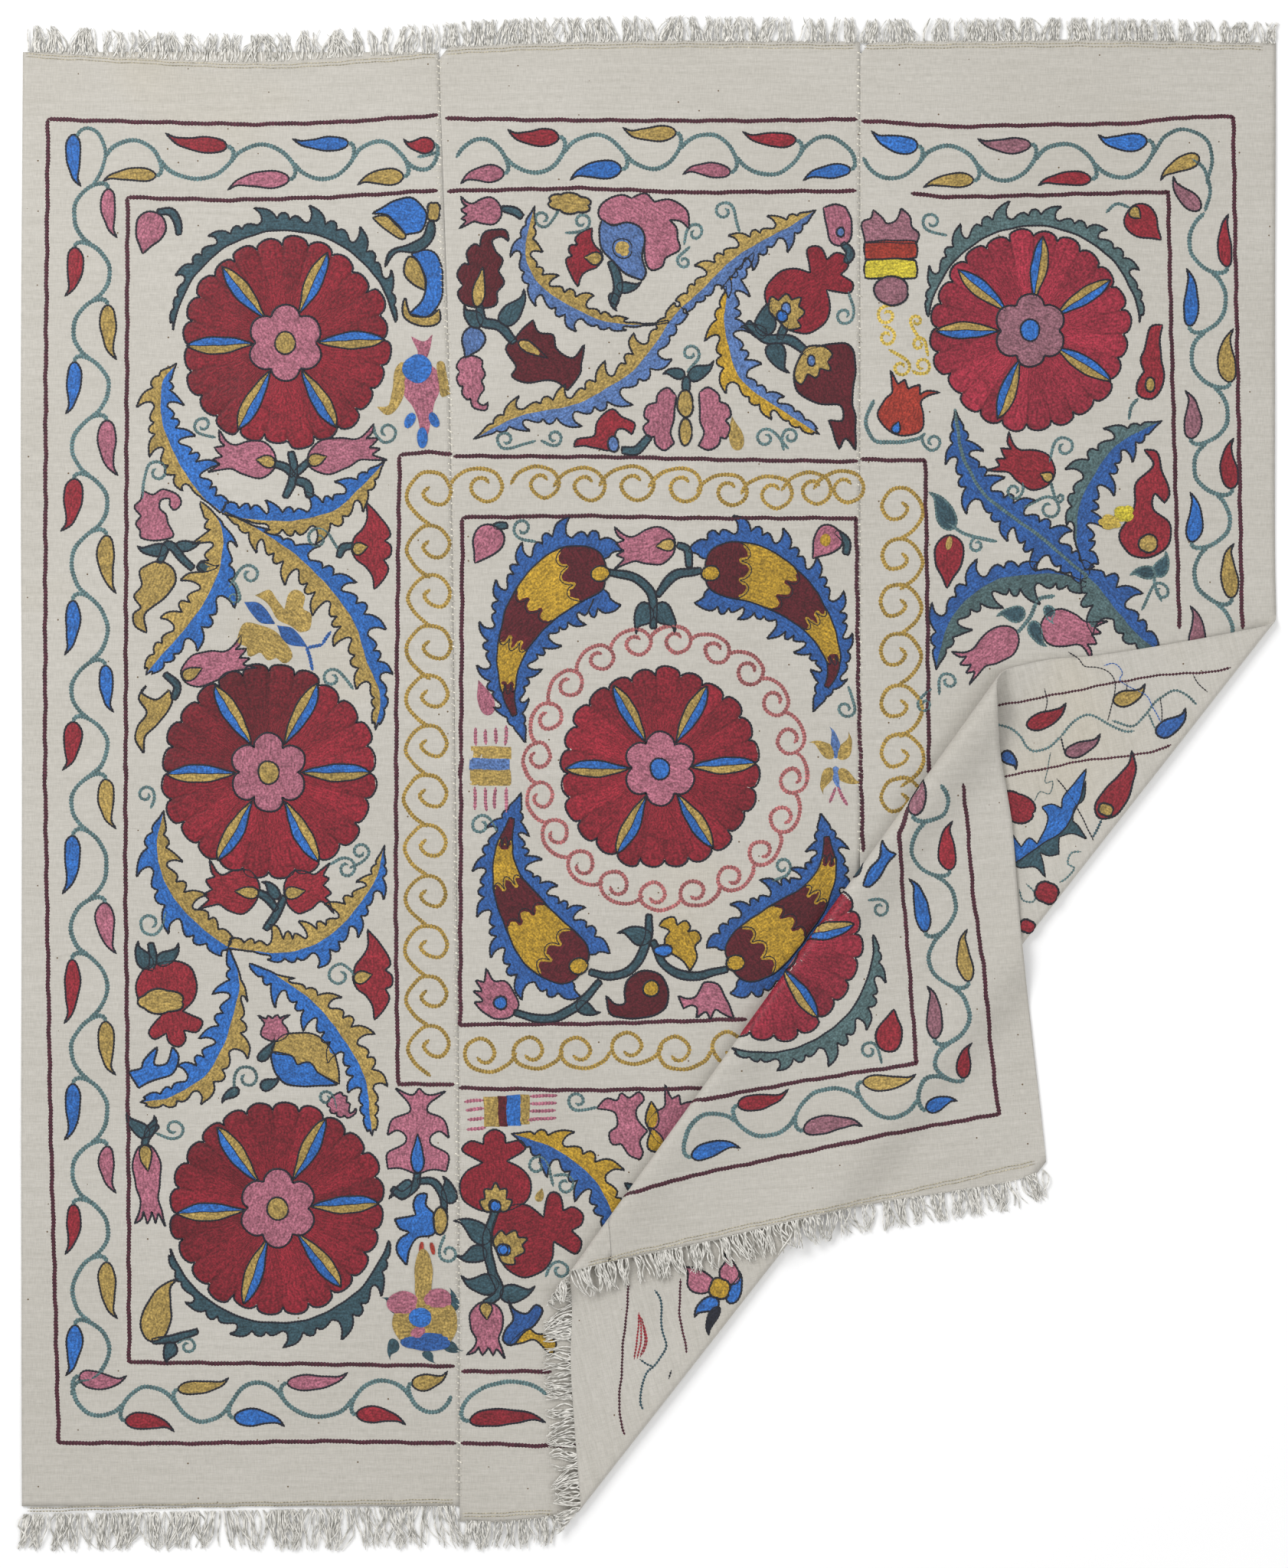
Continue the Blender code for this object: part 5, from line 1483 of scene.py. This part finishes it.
VASE = (
    (1126, 292), (1138, 286), (1140, 274, 1), (1152, 284), (1158, 292), (1170, 288), (1176, 272, 1),
    (1188, 284), (1190, 296), (1200, 306), (1197, 318, 1), (1130, 317, 1),
)
BAND = (
    (0, 0.30), (0.10, 0.50), (0.90, 0.46), (1.0, 0.24), (1.0, -0.26), (0.90, -0.50), (0.10, -0.46),
    (0, -0.30),
)
VASE_BANDS = (  # left end, right end, width, dye
    (1129, 327, 1197, 326, 24, "orange"), (1130, 351, 1196, 352, 25, "yellow"),
)

for step, (region, dye, line, level, *knots) in enumerate(FIGURES):
    motif(regions[region], closed_curve(knots), dye, ABOVE * (step % 3) + LEVEL * level, line)
for region, x_0, y_0, x_1, y_1, dye in BARS:
    fill(regions[region], closed_curve([(x_0, y_0, 1), (x_1, y_0, 1), (x_1, y_1, 1), (x_0, y_1, 1)]), dye)
for region, dye, *rows in TINES:
    for x_0, y_0, x_1, y_1 in rows:
        stroke(regions[region], [(x_0, y_0), (x_1, y_1)], 5.0, dye)
for region, *values, dye in WINGS:
    leaf(regions[region], *values, dye, "")
motif(right, closed_curve(VASE), "mauve")
for step, (*values, dye) in enumerate(VASE_BANDS):
    motif(right, closed_curve(on_axis(BAND, *values)), dye, ABOVE * (step + 1))
YELLOW_CURLS = (
    (1158, 412, 13, 1, 1170, 398), (1158, 440, 12, -1, 1154, 426), (1176, 480, 12, -1, 1160, 456),
    (1204, 478, 12, 1, 1190, 484), (1200, 450, 9, 1, 1212, 466), (1196, 420, 8, -1, 1202, 446),
)
for values in YELLOW_CURLS:
    curl(right, *values, "straw", 4.8)
VINE_STEMS = (  # width, then places
    (6.0, (1141, 522), (1131, 548), (1140, 574), (1160, 578), (1196, 574), (1208, 566)),
    (5.0, (1236, 682), (1262, 698), (1300, 708)), (6.0, (1328, 828), (1344, 808), (1356, 784), (1378, 778)),
    (5.0, (1486, 520), (1476, 532), (1474, 548)), (4.6, (1444, 278), (1458, 266), (1474, 272)),
    (5.0, (1516, 786), (1508, 764), (1508, 748)),
)
for width, *places in VINE_STEMS:
    stroke(right, smooth(places, 5), width, "vine")

# The back of the work, on the part of the corner that is turned over once: the same lines and
# leaves in thinner, gappy silk, with the loose ends and long threads that a back has.
back = Work("back", 1)
BACK_LINES = (  # dye, width, then places
    ("plum", 4.2, (1300, 922), (1345, 914), (1390, 905), (1465, 890), (1534, 880), (1575, 879),
     (1606, 872)),
    ("plum", 4.2, (1310, 1015), (1358, 1005), (1414, 994), (1489, 985), (1513, 979), (1528, 972)),
    ("vine", 4.6, (1300, 947), (1320, 951), (1332, 961), (1340, 975), (1351, 982), (1371, 975),
     (1384, 962)),
    ("vine", 4.6, (1384, 962), (1395, 949), (1409, 937), (1425, 934), (1446, 946), (1467, 955),
     (1481, 954)),
    ("vine", 4.6, (1451, 942), (1478, 948), (1494, 934), (1505, 920), (1516, 911), (1534, 902), (1548, 907),
     (1562, 920)),
    ("vine", 3.6, (1498, 931), (1508, 952)), ("navy", 3.2, (1384, 962), (1387, 972), (1391, 984)),
    ("teal", 4.4, (1438, 1070), (1432, 1082), (1425, 1094)),
    ("vine", 3.6, (1411, 1112), (1398, 1114), (1394, 1128), (1402, 1133), (1392, 1146), (1382, 1152)),
    ("vine", 3.2, (1331, 1161), (1334, 1175), (1349, 1178), (1350, 1166), (1340, 1154)),
    ("navy", 2.0, (1395, 852), (1408, 861), (1416, 871), (1432, 872), (1446, 878), (1455, 890), (1454, 912),
     (1445, 942)),
    ("blue", 1.8, (1441, 870), (1454, 866), (1465, 878), (1463, 890), (1494, 907), (1505, 926),
     (1516, 945)),
    ("navy", 2.0, (1471, 891), (1471, 908)), ("navy", 2.0, (1514, 911), (1517, 947)),
    ("navy", 2.0, (1364, 900), (1367, 915), (1363, 934)),
    ("navy", 2.0, (1556, 881), (1564, 894), (1575, 904)),
    ("navy", 2.4, (1379, 1017), (1403, 1049), (1426, 1098)), ("red", 2.0, (1481, 990), (1473, 1009)),
    ("vine", 1.8, (1372, 982), (1364, 1020), (1374, 1020), (1370, 1036), (1358, 1034), (1350, 1046)),
    ("plum", 4.2, (820, 1674), (820, 1700), (815, 1740), (812, 1785), (809, 1829), (811, 1858),
     (816, 1872)),
    ("plum", 4.2, (888, 1669), (888, 1718), (894, 1750), (897, 1766)),
    ("teal", 4.0, (854, 1684), (863, 1698), (864, 1722), (865, 1740), (870, 1756), (862, 1772), (854, 1783),
     (845, 1792), (837, 1812), (837, 1832), (840, 1840)),
    ("teal", 3.6, (836, 1775), (845, 1781), (854, 1783)), ("navy", 3.0, (877, 1788), (873, 1799)),
    ("red", 3.2, (829, 1775), (832, 1745), (835, 1713)),
    ("red", 3.2, (833, 1774), (837, 1745), (836, 1716)),
    ("red", 3.2, (837, 1772), (842, 1748), (838, 1720)),
    ("red", 3.0, (840, 1768), (844, 1750), (841, 1730)),
)
BACK_LEAVES = (  # base, tip, width, dye
    (1341, 946, 1396, 933, 21, "red"), (1454, 915, 1498, 907, 19, "gold"),
    (1509, 958, 1553, 938, 20, "deep_blue"), (1391, 983, 1439, 972, 18, "mauve"),
    (1307, 985, 1331, 996, -15, "deep_blue"), (1432, 1066, 1494, 996, 32, "red"),
    (916, 1688, 912, 1650, 34, "pink"), (948, 1674, 962, 1644, 28, "pink"),
    (938, 1700, 904, 1706, 18, "blue"), (950, 1700, 974, 1664, 16, "blue"),
    (938, 1706, 918, 1738, 12, "navy"),
)
BACK_LOBES = (  # middle, half width, half height, dye
    (1324, 1054, 27, 18, "red"), (1366, 1166, 15, 13, "red"), (1341, 1210, 10, 8, "red"),
    (1443, 1057, 9, 8, "gold"), (940, 1682, 13, 13, "bright_gold"),
)
BACK_BLUE = (
    (1418, 1004, 1), (1398, 1028), (1388, 1042), (1386, 1055, 1), (1374, 1050), (1360, 1054, 1),
    (1367, 1066), (1364, 1084), (1354, 1102, 1), (1344, 1094), (1333, 1106, 1), (1322, 1090, 1),
    (1325, 1127, 1), (1355, 1106), (1382, 1089), (1396, 1072), (1408, 1048),
)
BACK_TEAL = (
    (1417, 1020, 1), (1414, 1044), (1403, 1055), (1400, 1072, 1), (1408, 1080), (1417, 1095, 1),
    (1400, 1088), (1382, 1093, 1), (1382, 1116, 1), (1370, 1118), (1358, 1113, 1), (1364, 1146, 1),
    (1350, 1132), (1331, 1133, 1), (1325, 1127), (1355, 1106), (1382, 1089), (1396, 1072), (1408, 1048),
)
motif(back, closed_curve(BACK_BLUE), "blue", width=THIN_OUTLINE)
motif(back, closed_curve(BACK_TEAL), "teal", width=THIN_OUTLINE)
for *values, dye in BACK_LEAVES:
    leaf(back, *values, dye, "navy", ABOVE)
for step, (x, y, wide, high, dye) in enumerate(BACK_LOBES):
    blob(back, x, y, wide, high, 4, 0.08, 20, dye, "navy", 2 * ABOVE * (1 + step))
for dye, width, *places in BACK_LINES:
    stroke(back, smooth(places, 5), width, dye, loops=(0.35, 1.1))

for work in (border, flap, left, middle, right, centre, back):
    work.make()

# The floor, the lights and the camera: a plain pale floor, soft light from the upper left, and a
# long lens straight above the cloth, at the photo's own frame.
FRAME_WIDE, FRAME_HIGH = 1682, 2048
CAMERA_HEIGHT, SENSOR = 6.0, 36.0

bpy.ops.mesh.primitive_plane_add(size=12.0, location=(0.0, 0.0, -0.0003))
floor = bpy.context.object
floor.name = "floor"
material, tree, shader = nodes_of("floor_white")
shader.inputs["Base Color"].default_value = (0.93, 0.93, 0.93, 1.0)
shader.inputs["Roughness"].default_value = 0.95
floor.data.materials.append(material)


def area_light(name, place, size, power):
    """A square soft light, aimed at the middle of the cloth."""
    data = bpy.data.lights.new(name, "AREA")
    data.shape, data.size, data.energy = "SQUARE", size, power
    light = bpy.data.objects.new(name, data)
    light.location = place
    aim = -light.location
    light.rotation_euler = aim.to_track_quat("-Z", "Y").to_euler()
    bpy.context.scene.collection.objects.link(light)


area_light("key", (-2.6, 2.2, 3.4), 2.2, 128.0)
area_light("fill", (2.4, -1.0, 4.2), 3.0, 43.0)
world = bpy.data.worlds.new("studio")
world.use_nodes = True
world.node_tree.nodes["Background"].inputs["Color"].default_value = (1.0, 1.0, 1.0, 1.0)
world.node_tree.nodes["Background"].inputs["Strength"].default_value = 0.67
bpy.context.scene.world = world
bpy.context.scene.view_settings.view_transform = "Standard"

camera_data = bpy.data.cameras.new("camera")
camera_data.sensor_width = SENSOR
camera_data.lens = CAMERA_HEIGHT * SENSOR / (FRAME_HIGH * PIXEL)
camera_data.clip_end = 60.0
camera = bpy.data.objects.new("camera", camera_data)
camera.location = (*chart(FRAME_WIDE / 2, FRAME_HIGH / 2), CAMERA_HEIGHT)
bpy.context.scene.collection.objects.link(camera)
bpy.context.scene.camera = camera
